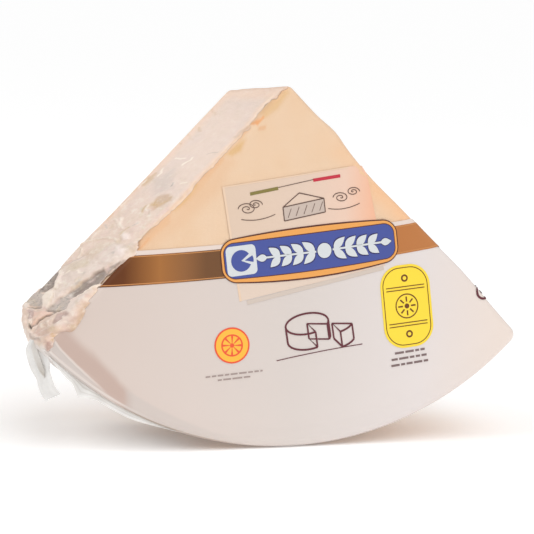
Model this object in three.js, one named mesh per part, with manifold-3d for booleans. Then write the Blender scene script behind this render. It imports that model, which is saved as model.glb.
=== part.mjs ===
// A quarter-circle wedge of hard grating cheese, half a wheel high, sealed in clear vacuum film.
// It stands on its curved heel and leans back a little, as the barrel-shaped heel makes it do.
// Millimetres, +Z up. The origin is the middle of the small flat that it rests on.
//
// The wedge is shaped in the wheel's own frame: x to the right, y into the wheel from the front
// cut face, and "drop" straight down from the wheel's axis, which is the wedge's apex edge.
import * as THREE from "three";
import Module from "manifold-3d";
import { mergeVertices } from "three/addons/utils/BufferGeometryUtils.js";

// ---- Driving dimensions, mm and degrees ----
const WHEEL_RADIUS = 210.5; // at the front face, which is the wheel cut through at half height
const THICKNESS = 101; // half of the wheel's height
const HALF_ANGLE = 45; // a quarter of the wheel, half of it on each side
const HEEL_DROP = 8; // the barrel heel is this much smaller in radius at the back
const BACK_RIM_ROUND = 22; // the wheel's own rounded rim
const CUT_EDGE_ROUND = 4; // cut edges, softened under the tight film
const APEX_ROUND = 4;
const CORNER_ROUND = 5; // where a radial cut meets the heel
const LEAN = 5.1; // the wedge tips back until its centre of mass is over the heel's contact
const FLAT_DEPTH = 1.5; // the heel is flattened by this much where it rests

// ---- Film trims ----
const FILM_GAP = 0.4; // trims stand this clear of the pack
const SHEET = 1.2; // thickness of the fused film layers in a trim
const TAIL = { length: 26, width: 14.5, rootX: -146, depth: 18, turn: 55 };
const FIN = { from: -43, to: -19, width: 3.1, earAt: -35, earWidth: 3.9, earSpan: 1.4, depth: 7 };

// ---- Mesh fineness ----
const COLUMNS = { left: 38, corner: 4, heel: 42, right: 22, apex: 5 };
const CAP_STEPS = [0.16, 0.34, 0.52, 0.68, 0.81, 0.91, 0.97];
const BODY_RINGS = 11;
const ROUND_RINGS = 3;
const RIM_RINGS = [22, 42, 55, 65, 75, 83, 90];

const radians = THREE.MathUtils.degToRad;
const smooth = THREE.MathUtils.smoothstep;
const HALF = radians(HALF_ANGLE);

// ---- The smooth wedge ----

/** Radius of the barrel heel at depth y, before its edges are rounded. */
const heelRadius = (y) => WHEEL_RADIUS - HEEL_DROP * (y / THICKNESS) ** 2;

/** How far a round of radius r cuts in, at a distance into the round's zone. */
const roundCut = (r, into) => (into <= 0 ? 0 : r - Math.sqrt(Math.max(0, r * r - into * into)));

/** One level of the wedge: its depth, its heel radius there and how far its sides are cut in. */
function level(y) {
  const front = roundCut(CUT_EDGE_ROUND, CUT_EDGE_ROUND - y);
  const backSide = roundCut(CUT_EDGE_ROUND, y - (THICKNESS - CUT_EDGE_ROUND));
  const backRim = roundCut(BACK_RIM_ROUND, y - (THICKNESS - BACK_RIM_ROUND));
  return { y, radius: heelRadius(y) - front - backRim, inset: front + backSide };
}

/** Depths of the rings from the front edge of the skin to its back edge. */
function ringDepths() {
  const depths = [];
  for (let i = 0; i <= ROUND_RINGS; i++)
    depths.push(CUT_EDGE_ROUND * (1 - Math.cos((i / ROUND_RINGS) * (Math.PI / 2))));
  const rimStart = THICKNESS - BACK_RIM_ROUND;
  for (let i = 1; i <= BODY_RINGS; i++)
    depths.push(CUT_EDGE_ROUND + (i / BODY_RINGS) * (rimStart - CUT_EDGE_ROUND));
  for (const angle of RIM_RINGS) depths.push(rimStart + BACK_RIM_ROUND * Math.sin(radians(angle)));
  return depths;
}

/** Points of a rounded sector as [x, drop]: down the left side, along the heel and back up. */
function outline(radius, inset) {
  const points = [];
  const arc = (cx, cy, r, from, to, steps) => {
    for (let i = 0; i < steps; i++) {
      const a = from + ((to - from) * i) / steps;
      points.push([cx + r * Math.sin(a), cy + r * Math.cos(a)]);
    }
  };
  const line = (from, to, steps) => {
    for (let i = 0; i < steps; i++)
      points.push([0, 1].map((k) => from[k] + ((to[k] - from[k]) * i) / steps));
  };
  const apexDrop = (inset + APEX_ROUND) / Math.sin(HALF);
  const reach = radius - CORNER_ROUND;
  const cornerAngle = HALF - Math.asin((inset + CORNER_ROUND) / reach);
  const cornerX = reach * Math.sin(cornerAngle);
  const cornerDrop = reach * Math.cos(cornerAngle);
  const sideNormal = HALF + Math.PI / 2; // direction of the right side's normal, from straight down
  const offset = (cx, cy, r, a) => [cx + r * Math.sin(a), cy + r * Math.cos(a)];
  line(offset(0, apexDrop, APEX_ROUND, -sideNormal),
    offset(-cornerX, cornerDrop, CORNER_ROUND, -sideNormal), COLUMNS.left);
  arc(-cornerX, cornerDrop, CORNER_ROUND, -sideNormal, -cornerAngle, COLUMNS.corner);
  arc(0, 0, radius, -cornerAngle, cornerAngle, COLUMNS.heel);
  arc(cornerX, cornerDrop, CORNER_ROUND, cornerAngle, sideNormal, COLUMNS.corner);
  line(offset(cornerX, cornerDrop, CORNER_ROUND, sideNormal),
    offset(0, apexDrop, APEX_ROUND, sideNormal), COLUMNS.right);
  arc(0, apexDrop, APEX_ROUND, sideNormal, 2 * Math.PI - sideNormal, COLUMNS.apex);
  return points;
}

/** All rings of the skin, front cap to back cap, each a list of [x, y, drop], and the two poles. */
function skinRings() {
  const centreDrop = WHEEL_RADIUS / (1 + Math.sin(HALF)); // centre of the inscribed circle
  const at = (points, y, scale) =>
    points.map(([x, drop]) => [x * scale, y, centreDrop + (drop - centreDrop) * scale]);
  const front = outline(level(0).radius, level(0).inset);
  const back = outline(level(THICKNESS).radius, level(THICKNESS).inset);
  const rings = CAP_STEPS.map((scale) => at(front, 0, scale));
  for (const y of ringDepths()) rings.push(at(outline(level(y).radius, level(y).inset), y, 1));
  for (const scale of [...CAP_STEPS].reverse()) rings.push(at(back, THICKNESS, scale));
  return { rings, poles: [[0, 0, centreDrop], [0, THICKNESS, centreDrop]] };
}

// ---- Relief: the film's folds over the wedge ----

/** A repeatable random number from 0 to 1 for a lattice point. */
function hash(i, j, seed) {
  const s = Math.sin(i * 127.1 + j * 311.7 + seed * 74.7) * 43758.5453;
  return s - Math.floor(s);
}

/** Crumple of flat facets with straight creases, from -1 to 1: heights joined over triangles. */
function facets(u, v, cell, seed) {
  const skew = ((u + v) / cell) * 0.366025;
  const a = u / cell + skew;
  const b = v / cell + skew;
  const i = Math.floor(a);
  const j = Math.floor(b);
  const p = a - i;
  const q = b - j;
  const mid = p > q ? hash(i + 1, j, seed) : hash(i, j + 1, seed);
  const low = Math.min(p, q);
  const high = Math.max(p, q);
  const height = (1 - high) * hash(i, j, seed) + (high - low) * mid + low * hash(i + 1, j + 1, seed);
  return 2 * height - 1;
}

/** A soft bump of height 1 at distance 0 that fades over the given reach. */
const bump = (distance, reach) => Math.exp(-((distance / reach) ** 2));

/** Long folds on the left cut: start and end as [run, y], then height and half-width. */
const FOLDS = [
  { from: [118, 18], to: [206, 30], height: 3.2, half: 7 },
  { from: [140, 52], to: [208, 34], height: 2.8, half: 8 },
  { from: [150, 92], to: [204, 58], height: 3.0, half: 9 },
  { from: [168, 6], to: [207, 26], height: 2.2, half: 5 },
  { from: [96, 40], to: [128, 8], height: 1.8, half: 6 },
  { from: [60, 96], to: [120, 90], height: 1.4, half: 7 },
];

/** Height of one tent-shaped fold at a place on the left cut. */
function foldHeight(fold, run, y) {
  const along = [fold.to[0] - fold.from[0], fold.to[1] - fold.from[1]];
  const length = Math.hypot(...along);
  const rel = [run - fold.from[0], y - fold.from[1]];
  const share = THREE.MathUtils.clamp((rel[0] * along[0] + rel[1] * along[1]) / length ** 2, 0, 1);
  const off = Math.hypot(rel[0] - along[0] * share, rel[1] - along[1] * share);
  return fold.height * Math.max(0, 1 - off / fold.half) * (0.35 + 0.65 * share);
}

/** Outward height of the film's relief at a skin point with unit normal [nx, ny, nd]. */
function relief([x, y, drop], [nx, ny, nd]) {
  const run = -x * Math.sin(HALF) + drop * Math.cos(HALF); // down the left side from the apex
  const runRight = x * Math.sin(HALF) + drop * Math.cos(HALF);
  const angle = THREE.MathUtils.radToDeg(Math.atan2(x, drop));
  const distance = Math.hypot(x, drop);
  const leftward = smooth(-nx * Math.cos(HALF) - nd * Math.sin(HALF), 0.15, 0.8);
  const rightward = smooth(nx * Math.cos(HALF) - nd * Math.sin(HALF), 0.15, 0.8);
  const forward = smooth(-ny, 0.3, 0.9);
  const backward = smooth(ny, 0.3, 0.9);
  const crumple = 0.7 + 1.5 * smooth(run, 90, 190);
  let left = crumple * (0.65 * facets(run * 0.55, y, 14, 1) + 0.35 * facets(run, y + 9, 9, 2));
  for (const fold of FOLDS) left += foldHeight(fold, run, y);
  const swell = 1.6 * bump(runRight - 40, 10) - 1.2 * bump(runRight - 76, 20)
    + 1.4 * bump(runRight - 158, 26);
  const right = swell * (1 - 0.7 * (y / THICKNESS)) + 0.5 * facets(runRight * 0.5, y, 15, 3);
  const hollow = -2.2 * bump(distance - 186, 13) * bump(angle + 34, 13);
  const edgeFold = 1.6 * bump(distance - 204, 5) * smooth(-angle, 12, 30);
  const front = hollow + edgeFold + 0.35 * facets(x * 0.5, drop * 0.5, 17, 4);
  return left * leftward + right * rightward + front * forward
    + 0.5 * facets(x * 0.6, drop * 0.6, 19, 5) * backward;
}

/** The back left corner is drawn in where the film is gathered: a shift of [x, y, drop]. */
function gather([x, y, drop]) {
  const run = -x * Math.sin(HALF) + drop * Math.cos(HALF);
  const inside = x * Math.cos(HALF) + drop * Math.sin(HALF);
  const pull = bump(run - 212, 30) * bump(inside, 38) * smooth(y, 20, 98);
  return [8 * Math.sin(HALF) * pull, -4 * pull, -8 * Math.cos(HALF) * pull];
}

// ---- Solids ----

/** A wheel-frame point [x, y, drop] in this frame's x, y, z, with z up from the heel. */
const upright = ([x, y, drop]) => new THREE.Vector3(x, y, WHEEL_RADIUS - drop);

/** Triangles over the rings and poles, facing out. */
function skinIndex(ringCount, columns) {
  const index = [];
  const last = ringCount - 1;
  const [frontPole, backPole] = [ringCount * columns, ringCount * columns + 1];
  for (let c = 0; c < columns; c++) {
    const next = (c + 1) % columns;
    index.push(frontPole, c, next, backPole, last * columns + next, last * columns + c);
    for (let r = 0; r < last; r++) {
      const [a, b] = [r * columns + c, r * columns + next];
      const [d, e] = [a + columns, b + columns];
      index.push(a, d, b, b, d, e);
    }
  }
  return index;
}

/** The sealed wedge with its relief, before the flat is cut. */
function wedgeGeometry() {
  const { rings, poles } = skinRings();
  const points = [...rings.flat(), ...poles];
  const geometry = new THREE.BufferGeometry().setFromPoints(points.map(upright));
  geometry.setIndex(skinIndex(rings.length, rings[0].length));
  geometry.computeVertexNormals();
  const normals = geometry.getAttribute("normal");
  const moved = points.map((point, i) => {
    const normal = [normals.getX(i), normals.getY(i), -normals.getZ(i)];
    const height = relief(point, normal);
    const shift = gather(point);
    return upright(point.map((value, k) => value + normal[k] * height + shift[k]));
  });
  geometry.setFromPoints(moved);
  geometry.deleteAttribute("normal");
  return geometry;
}

const wasm = await Module();
wasm.setup();

/** A closed geometry as a solid that can be cut. */
function solidOf(geometry) {
  const bare = geometry.clone();
  bare.deleteAttribute("normal");
  bare.deleteAttribute("uv");
  const merged = mergeVertices(bare, 1e-4);
  return new wasm.Manifold(new wasm.Mesh({
    numProp: 3,
    vertProperties: new Float32Array(merged.attributes.position.array),
    triVerts: new Uint32Array(merged.index.array),
  }));
}

/** A solid back as a geometry. */
function geometryOf(solid) {
  const mesh = solid.getMesh();
  return new THREE.BufferGeometry()
    .setAttribute("position", new THREE.BufferAttribute(new Float32Array(mesh.vertProperties), 3))
    .setIndex(new THREE.BufferAttribute(new Uint32Array(mesh.triVerts), 1));
}

/** Bends a flat sheet's points by a function of each point. */
function bent(geometry, bend) {
  const position = geometry.getAttribute("position");
  for (let i = 0; i < position.count; i++)
    position.setXYZ(i, ...bend(position.getX(i), position.getY(i), position.getZ(i)));
  return geometry;
}

/**
 * The bag's tail: a strip of film that hangs from the gathered corner and swings inward. It is
 * turned about the vertical, and its root follows the heel.
 */
function tailGeometry() {
  const strip = new THREE.BoxGeometry(TAIL.width, SHEET, TAIL.length, 8, 1, 16);
  const turn = radians(TAIL.turn);
  const reach = heelRadius(TAIL.depth) + 4 * FILM_GAP;
  return bent(strip, (x, y, z) => {
    const share = 0.5 - z / TAIL.length; // 0 at the root, 1 at the tip
    const across = x * (1 - 0.22 * share);
    const curl = y + 1.6 * Math.sin(2.6 * share + x / 6);
    const sway = 3 * share + 6 * share ** 2;
    const worldX = TAIL.rootX + across * Math.cos(turn) + curl * Math.sin(turn) + sway;
    const worldY = TAIL.depth - across * Math.sin(turn) + curl * Math.cos(turn);
    const rootZ = WHEEL_RADIUS - Math.sqrt(reach ** 2 - Math.min(0, worldX - sway) ** 2);
    const hang = rootZ * (1 - share) + 57 * share - share * TAIL.length;
    return [worldX, worldY, hang + 2.6 * share * (x / TAIL.width)];
  });
}

/** How far the seam fin stands out of the heel at an angle in degrees. */
function finWidth(angle) {
  const fade = smooth(angle, FIN.from - 1, FIN.from + 5) * (1 - smooth(angle, FIN.to - 9, FIN.to));
  return 0.6 + FIN.width * fade + FIN.earWidth * bump(angle - FIN.earAt, FIN.earSpan);
}

/** The film's seam fin: a narrow sheet that stands out of the heel along its front rim. */
function finGeometry() {
  const steps = 44;
  const inner = heelRadius(FIN.depth) + FILM_GAP;
  const angles = Array.from({ length: steps + 1 },
    (_, i) => radians(FIN.from + ((FIN.to - FIN.from) * i) / steps));
  const edge = (a, r) => new THREE.Vector2(r * Math.sin(a), WHEEL_RADIUS - r * Math.cos(a));
  const outer = angles.map((a) => edge(a, inner + finWidth(THREE.MathUtils.radToDeg(a))));
  const shape = new THREE.Shape([...angles.map((a) => edge(a, inner)), ...outer.reverse()]);
  const sheet = new THREE.ExtrudeGeometry(shape, { depth: SHEET, steps: 1, bevelEnabled: false });
  sheet.rotateX(Math.PI / 2);
  return sheet;
}

/** Where the leaning heel touches the ground, in the wheel frame's y and height. */
function contactPoint() {
  const y = (THICKNESS ** 2 * Math.tan(radians(LEAN))) / (2 * HEEL_DROP);
  return new THREE.Vector3(0, y, WHEEL_RADIUS - heelRadius(y));
}

/** The block of ground that the heel's flat is cut with, in the leaning wheel's frame. */
function groundBlock(wheel) {
  const side = 600;
  const block = new THREE.BoxGeometry(side, side, side).translate(0, 0, -side / 2);
  return block.applyMatrix4(wheel.matrixWorld.clone().invert());
}

/** A named mesh with its own plain material. */
function piece(name, geometry, colour, roughness, opacity = 1) {
  const material = new THREE.MeshStandardMaterial({
    color: new THREE.Color(...colour), roughness, metalness: 0,
    transparent: opacity < 1, opacity, side: THREE.DoubleSide,
  });
  const mesh = new THREE.Mesh(geometry, material);
  mesh.name = name;
  return mesh;
}

// ---- The model ----
const part = new THREE.Group();
const wheel = new THREE.Group();
wheel.rotation.x = -radians(LEAN);
const contact = contactPoint().applyEuler(wheel.rotation);
wheel.position.set(0, -contact.y, -contact.z - FLAT_DEPTH);
part.add(wheel);
part.updateMatrixWorld(true);

const wedge = solidOf(wedgeGeometry()).subtract(solidOf(groundBlock(wheel)));
wheel.add(piece("sealed_pack", geometryOf(wedge), [0.86, 0.72, 0.58], 0.35));

const tail = piece("film_tail", tailGeometry(), [0.85, 0.87, 0.84], 0.2, 0.5);
wheel.add(tail);

const fin = piece("film_seam_fin", finGeometry(), [0.85, 0.87, 0.84], 0.2, 0.5);
fin.position.y = FIN.depth + SHEET / 2;
wheel.add(fin);

export default part;
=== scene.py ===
"""A vacuum-packed wedge of hard grating cheese, an eighth of a wheel, dressed over its solids.

The wedge stands on its curved rind heel. Clear film is drawn tight over it, crumpled on the left
cut face and gathered at the lower left corner, where a tail and a seam fin of film stand out. The
front cut face carries the printed part of the film.

Shapes are laid out in the wheel's own frame, in millimetres: x to the right, y into the wheel from
the front face, and either z up from the heel or "drop" down from the wheel's axis, which is the
wedge's apex. "run" goes down the wedge's left front edge. One matrix then leans the wheel back and
takes it to metres.
"""

import logging
import math
from dataclasses import dataclass
from enum import Enum
from functools import cache, cached_property, reduce
from typing import Any, Callable, Iterable, Protocol, Sequence

import bmesh
import bpy
from mathutils import Matrix, Vector


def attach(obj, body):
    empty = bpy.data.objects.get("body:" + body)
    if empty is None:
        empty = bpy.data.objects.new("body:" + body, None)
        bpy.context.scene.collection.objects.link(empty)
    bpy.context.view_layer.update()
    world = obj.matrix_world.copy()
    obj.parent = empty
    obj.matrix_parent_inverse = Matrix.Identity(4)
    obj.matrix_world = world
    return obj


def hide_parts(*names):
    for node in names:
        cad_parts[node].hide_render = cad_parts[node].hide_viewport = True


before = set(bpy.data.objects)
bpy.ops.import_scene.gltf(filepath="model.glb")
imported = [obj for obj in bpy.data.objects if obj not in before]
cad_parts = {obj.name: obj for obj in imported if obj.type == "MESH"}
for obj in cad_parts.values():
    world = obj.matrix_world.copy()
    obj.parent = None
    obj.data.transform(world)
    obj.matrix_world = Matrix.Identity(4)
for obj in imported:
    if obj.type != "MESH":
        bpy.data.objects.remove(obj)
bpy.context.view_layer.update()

logging.basicConfig(level=logging.INFO, format="%(message)s")
log = logging.getLogger("cheese_wedge")

Colour = tuple[float, float, float]
Flat = tuple[float, float]
Outline = Callable[[float], Flat]
ROOT2 = math.sqrt(2.0)
TRIANGLE_SKEW = 0.366025  # slants a square lattice into one of even triangles
SHEEN, BODY = 0.08, 0.9  # the film's gloss adds the first and leaves the second of its own colour


def srgb(*shown: float) -> Colour:
    """Returns the shaders' linear colour for a display colour, 0 to 255 a channel."""
    shares = (channel / 255.0 for channel in shown)
    return tuple(s / 12.92 if s <= 0.04045 else ((s + 0.055) / 1.055) ** 2.4 for s in shares)


def under_gloss(*shown: float) -> Colour:
    """Returns the film's own colour that shows as a display colour under its gloss."""
    return tuple(max(0.01, (channel - SHEEN) / BODY) for channel in srgb(*shown))


def clamp(value: float, low: float = 0.0, high: float = 1.0) -> float:
    """Returns value held between low and high."""
    return max(low, min(high, value))


def smooth(value: float, start: float, end: float) -> float:
    """Returns a smooth step from 0 at start to 1 at end."""
    share = clamp((value - start) / (end - start))
    return share * share * (3.0 - 2.0 * share)


def between(first: Flat, last: Flat, share: float) -> Flat:
    """Returns the place at a share of the way from first to last."""
    return first[0] + (last[0] - first[0]) * share, first[1] + (last[1] - first[1]) * share


def moved(place: Flat, right: float, down: float) -> Flat:
    """Returns a place moved to the right and down."""
    return place[0] + right, place[1] + down


def bump(distance: float, reach: float) -> float:
    """Returns a soft bump, 1 at no distance, that fades over reach."""
    return math.exp(-((distance / reach) ** 2))


def tent(distance: float, half: float) -> float:
    """Returns a straight-sided ridge, 1 at no distance and 0 at half."""
    return max(0.0, 1.0 - abs(distance) / half)


@cache
def lattice(i: int, j: int, seed: int) -> float:
    """Returns a repeatable random height from 0 to 1 for a lattice point."""
    value = math.sin(i * 127.1 + j * 311.7 + seed * 74.7) * 43758.5453
    return value - math.floor(value)


def facets(u: float, v: float, cell: float, seed: int) -> float:
    """Returns a crumple of flat facets with straight creases.

    Args:
        u: First coordinate.
        v: Second coordinate.
        cell: Size of a facet.
        seed: Which crumple of the kind.

    Returns:
        The height, 0 to 1.
    """
    skew = (u + v) / cell * TRIANGLE_SKEW
    i, j = math.floor(u / cell + skew), math.floor(v / cell + skew)
    p, q = u / cell + skew - i, v / cell + skew - j
    middle = lattice(i + 1, j, seed) if p > q else lattice(i, j + 1, seed)
    low, high = min(p, q), max(p, q)
    return (1 - high) * lattice(i, j, seed) + (high - low) * middle + low * lattice(i + 1, j + 1, seed)


# Shader building


class Sock:
    """A shader socket that can be worked with as a number."""

    def __init__(self, graph: "Graph", socket: bpy.types.NodeSocket) -> None:
        """Keeps the socket and the graph that it belongs to."""
        self.graph, self.socket = graph, socket

    def math(self, operation: str, *others: "Sock | float") -> "Sock":
        """Returns what a Math node makes of this and the others."""
        return self.graph.node("ShaderNodeMath", {"operation": operation}, self, *others)

    def __add__(self, other: "Sock | float") -> "Sock":
        """Returns the sum."""
        return self.math("ADD", other)

    def __sub__(self, other: "Sock | float") -> "Sock":
        """Returns this less other."""
        return self.math("SUBTRACT", other)

    def __rsub__(self, other: float) -> "Sock":
        """Returns other less this."""
        return (self * -1.0) + other

    def __mul__(self, other: "Sock | float") -> "Sock":
        """Returns the product."""
        return self.math("MULTIPLY", other)

    def __truediv__(self, other: "Sock | float") -> "Sock":
        """Returns this over other."""
        return self.math("DIVIDE", other)

    def __pow__(self, other: float) -> "Sock":
        """Returns this to a power."""
        return self.math("POWER", other)

    def __abs__(self) -> "Sock":
        """Returns the size without the sign."""
        return self.math("ABSOLUTE")

    __radd__, __rmul__ = __add__, __mul__

    def at_least(self, other: "Sock | float") -> "Sock":
        """Returns the larger of the two."""
        return self.math("MAXIMUM", other)

    def at_most(self, other: "Sock | float") -> "Sock":
        """Returns the smaller of the two."""
        return self.math("MINIMUM", other)

    def step(self, start: float, end: float) -> "Sock":
        """Returns a smooth step from 0 at start to 1 at end."""
        settings = {"interpolation_type": "SMOOTHSTEP"}
        return self.graph.node("ShaderNodeMapRange", settings, self, start, end, 0.0, 1.0)


class Graph:
    """The node graph of one material."""

    def __init__(self, name: str) -> None:
        """Starts an empty material.

        Args:
            name: The material's name.
        """
        self.material = bpy.data.materials.new(name)
        self.material.use_nodes = True
        self.tree = self.material.node_tree
        self.tree.nodes.clear()

    def node(self, kind: str, settings: dict[str, Any] | None = None, *values: Any,
             output: int | str = 0, **named: Any) -> Sock:
        """Adds a node, sets it and links or fills its inputs.

        Args:
            kind: The node's type.
            settings: Its settings; a ramp's stops, each a place and a display colour, are "stops".
            values: What goes into its inputs, in order; None leaves one alone.
            output: Which output to return.
            named: What goes into inputs by name, with _ for a space.

        Returns:
            The chosen output.
        """
        made = self.tree.nodes.new(kind)
        for key, value in (settings or {}).items():
            if key == "stops":
                elements = made.color_ramp.elements
                while len(elements) < len(value):
                    elements.new(0.5)
                for element, (place, *shown) in zip(elements, value):
                    element.position, element.color = place, (*srgb(*shown), 1.0)
            else:
                setattr(made, key, value)
        for key, value in [*enumerate(values), *named.items()]:
            target = made.inputs[key if isinstance(key, int) else key.replace("_", " ")]
            if isinstance(value, Sock):
                self.tree.links.new(value.socket, target)
            elif value is not None:
                target.default_value = (*value, 1.0) if target.type == "RGBA" else value
        return Sock(self, made.outputs[output])

    def place(self) -> Sock:
        """Returns the object coordinates."""
        return self.node("ShaderNodeTexCoord", output="Object")

    def along(self, x: float, y: float, drop: float) -> Sock:
        """Returns how far a place lies along a direction of the wheel's frame.

        Args:
            x: The direction's share to the right.
            y: Its share into the wheel.
            drop: Its share down.

        Returns:
            The way, in millimetres.
        """
        turned = WHEEL.matrix.to_3x3().normalized() @ Vector((x, y, -drop))
        start = turned.dot(WHEEL.matrix.translation) * 1000.0
        dot = self.node("ShaderNodeVectorMath", {"operation": "DOT_PRODUCT"}, self.place(),
                        turned * 1000.0, output="Value")
        return dot + (WHEEL.radius * drop - start)

    def wheel_frame(self) -> tuple[Sock, Sock, Sock]:
        """Returns x, y and drop, in millimetres."""
        return self.along(1.0, 0.0, 0.0), self.along(0.0, 1.0, 0.0), self.along(0.0, 0.0, 1.0)

    def noise(self, scale: float, detail: float = 2.0, rough: float = 0.5,
              place: Sock | None = None) -> Sock:
        """Returns a noise of scale features a metre, read at a place or the object coordinates."""
        return self.node("ShaderNodeTexNoise", {"noise_dimensions": "3D"}, place or self.place(),
                         None, scale, detail, rough)

    def mix(self, factor: "Sock | float", first: "Sock | Colour", second: "Sock | Colour") -> Sock:
        """Returns a colour from the first, at a factor of 0, to the second, at 1."""
        settings = {"data_type": "RGBA", "clamp_factor": True}
        return self.node("ShaderNodeMix", settings, factor, *[None] * 5, first, second, output=2)

    def coats(self, base: "Sock | Colour", *coats: tuple[Any, Any]) -> Sock:
        """Returns a colour with coats over it in order, each a cover and a colour."""
        return reduce(lambda under, coat: self.mix(coat[0], under, coat[1]), coats, base)

    def attribute(self, name: str, output: str = "Fac") -> Sock:
        """Returns a number, or a "Color", stored on the mesh's own points."""
        settings = {"attribute_type": "GEOMETRY", "attribute_name": name}
        return self.node("ShaderNodeAttribute", settings, output=output)

    def drawn(self) -> Sock:
        """Returns the object coordinates, with depth shortened as it is seen from the front."""
        return self.node("ShaderNodeVectorMath", {"operation": "MULTIPLY"}, self.place(),
                         Vector((1.0, 0.4, 1.0)))

    def relief(self, height: Sock, depth: float, strength: float) -> Sock:
        """Returns a normal for a fine relief of a depth in metres, shown at some strength."""
        return self.node("ShaderNodeBump", None, strength, depth, Height=height)

    def surface(self, **sockets: Any) -> bpy.types.Material:
        """Ends the material with a Principled shader.

        Args:
            sockets: What goes into the shader's inputs by name, with _ for a space.

        Returns:
            The finished material.
        """
        shader = self.node("ShaderNodeBsdfPrincipled", None, **sockets)
        out = self.tree.nodes.new("ShaderNodeOutputMaterial")
        self.tree.links.new(shader.socket, out.inputs["Surface"])
        return self.material

    def printed(self, colour: "Sock | Colour", **sockets: Any) -> bpy.types.Material:
        """Returns the material as ink under the film's gloss."""
        gloss = {"Roughness": 0.36, "Specular_IOR_Level": 0.3, "Coat_Weight": 0.15}
        return self.surface(Base_Color=colour, Coat_Roughness=0.12, **{**gloss, **sockets})


# The wheel and the wedge's skin


@dataclass(frozen=True)
class Wheel:
    """The wheel that the wedge is cut from, in millimetres and degrees."""

    radius: float = 210.5
    thickness: float = 101.0
    half_angle: float = 45.0
    heel_drop: float = 8.0
    rim_round: float = 22.0
    edge_round: float = 4.0
    apex_round: float = 4.0
    corner_round: float = 5.0
    lean: float = 5.1
    flat_depth: float = 1.5

    def heel_radius(self, y: float) -> float:
        """Returns the barrel heel's radius at a depth, before its edges are rounded."""
        return self.radius - self.heel_drop * (y / self.thickness) ** 2

    @staticmethod
    def round_cut(radius: float, into: float) -> float:
        """Returns how far a round cuts in, at a distance into its zone."""
        return 0.0 if into <= 0 else radius - math.sqrt(max(0.0, radius * radius - into * into))

    def level(self, y: float) -> Flat:
        """Finds the outline's measures at a depth.

        Args:
            y: The depth.

        Returns:
            The heel's radius and how far the sides are cut in.
        """
        front = self.round_cut(self.edge_round, self.edge_round - y)
        back = self.round_cut(self.edge_round, y - (self.thickness - self.edge_round))
        rim = self.round_cut(self.rim_round, y - (self.thickness - self.rim_round))
        return self.heel_radius(y) - front - rim, front + back

    @property
    def matrix(self) -> Matrix:
        """The upright wheel frame in millimetres, taken to the part's frame in metres.

        Returns:
            The matrix, which leans the wheel back until it balances on its heel.
        """
        lean = math.radians(self.lean)
        y = self.thickness ** 2 * math.tan(lean) / (2 * self.heel_drop)
        turn = Matrix.Rotation(-lean, 4, "X")
        contact = turn @ Vector((0.0, y, self.radius - self.heel_radius(y)))
        shift = Matrix.Translation((0.0, -contact.y, -contact.z - self.flat_depth))
        return Matrix.Scale(0.001, 4) @ shift @ turn

    def upright(self, x: float, y: float, drop: float) -> Vector:
        """Returns a point given by its drop, in the upright frame."""
        return Vector((x, y, self.radius - drop))


WHEEL = Wheel()


class Side(Enum):
    """The stretches of the wedge's outline, in order from the apex down the left side."""

    LEFT = "left"
    LEFT_CORNER = "left_corner"
    HEEL = "heel"
    RIGHT_CORNER = "right_corner"
    RIGHT = "right"
    APEX = "apex"


class Layer(Enum):
    """What a skin stands for."""

    CHEESE = "cheese"
    PRINT = "print"
    FILM = "film"


class Tone(Enum):
    """What the film over the left cut, or the cheese, looks like where it is folded or tinted; some
    tones are painted highlights and painted shade, as marked below.
    """

    LILAC = under_gloss(234, 211, 197)
    CREAM = under_gloss(238, 213, 195)
    PEACH = under_gloss(244, 212, 188)
    SHELL = under_gloss(238, 220, 208)
    # painted highlight on the film's ridges and creases
    LIGHT = under_gloss(253, 238, 222)
    STRAW = under_gloss(225, 206, 184)
    ASH = under_gloss(202, 188, 178)
    # painted shade in the film's grooves and creases
    GREY = under_gloss(162, 146, 136)
    # painted darker shade in the film's sharp creases
    SMOKE = under_gloss(142, 124, 114)
    # painted deep shade in a gap of the gathered film
    DARK = under_gloss(84, 70, 62)
    PINK = under_gloss(241, 207, 189)
    # painted rose-tinted shade in the gathered corner's folds and hollows
    ROSE = under_gloss(196, 168, 158)
    TAN = under_gloss(214, 184, 160)
    OLIVE = under_gloss(211, 174, 126)
    MILK = under_gloss(231, 224, 219)
    HONEY = srgb(226, 184, 128)
    BLUSH = under_gloss(252, 234, 226)
    # painted highlight along the loose film's front edge
    GLEAM = under_gloss(252, 224, 198)
    AMBER = srgb(233, 188, 146)
    ORANGE = srgb(236, 166, 106)


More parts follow.
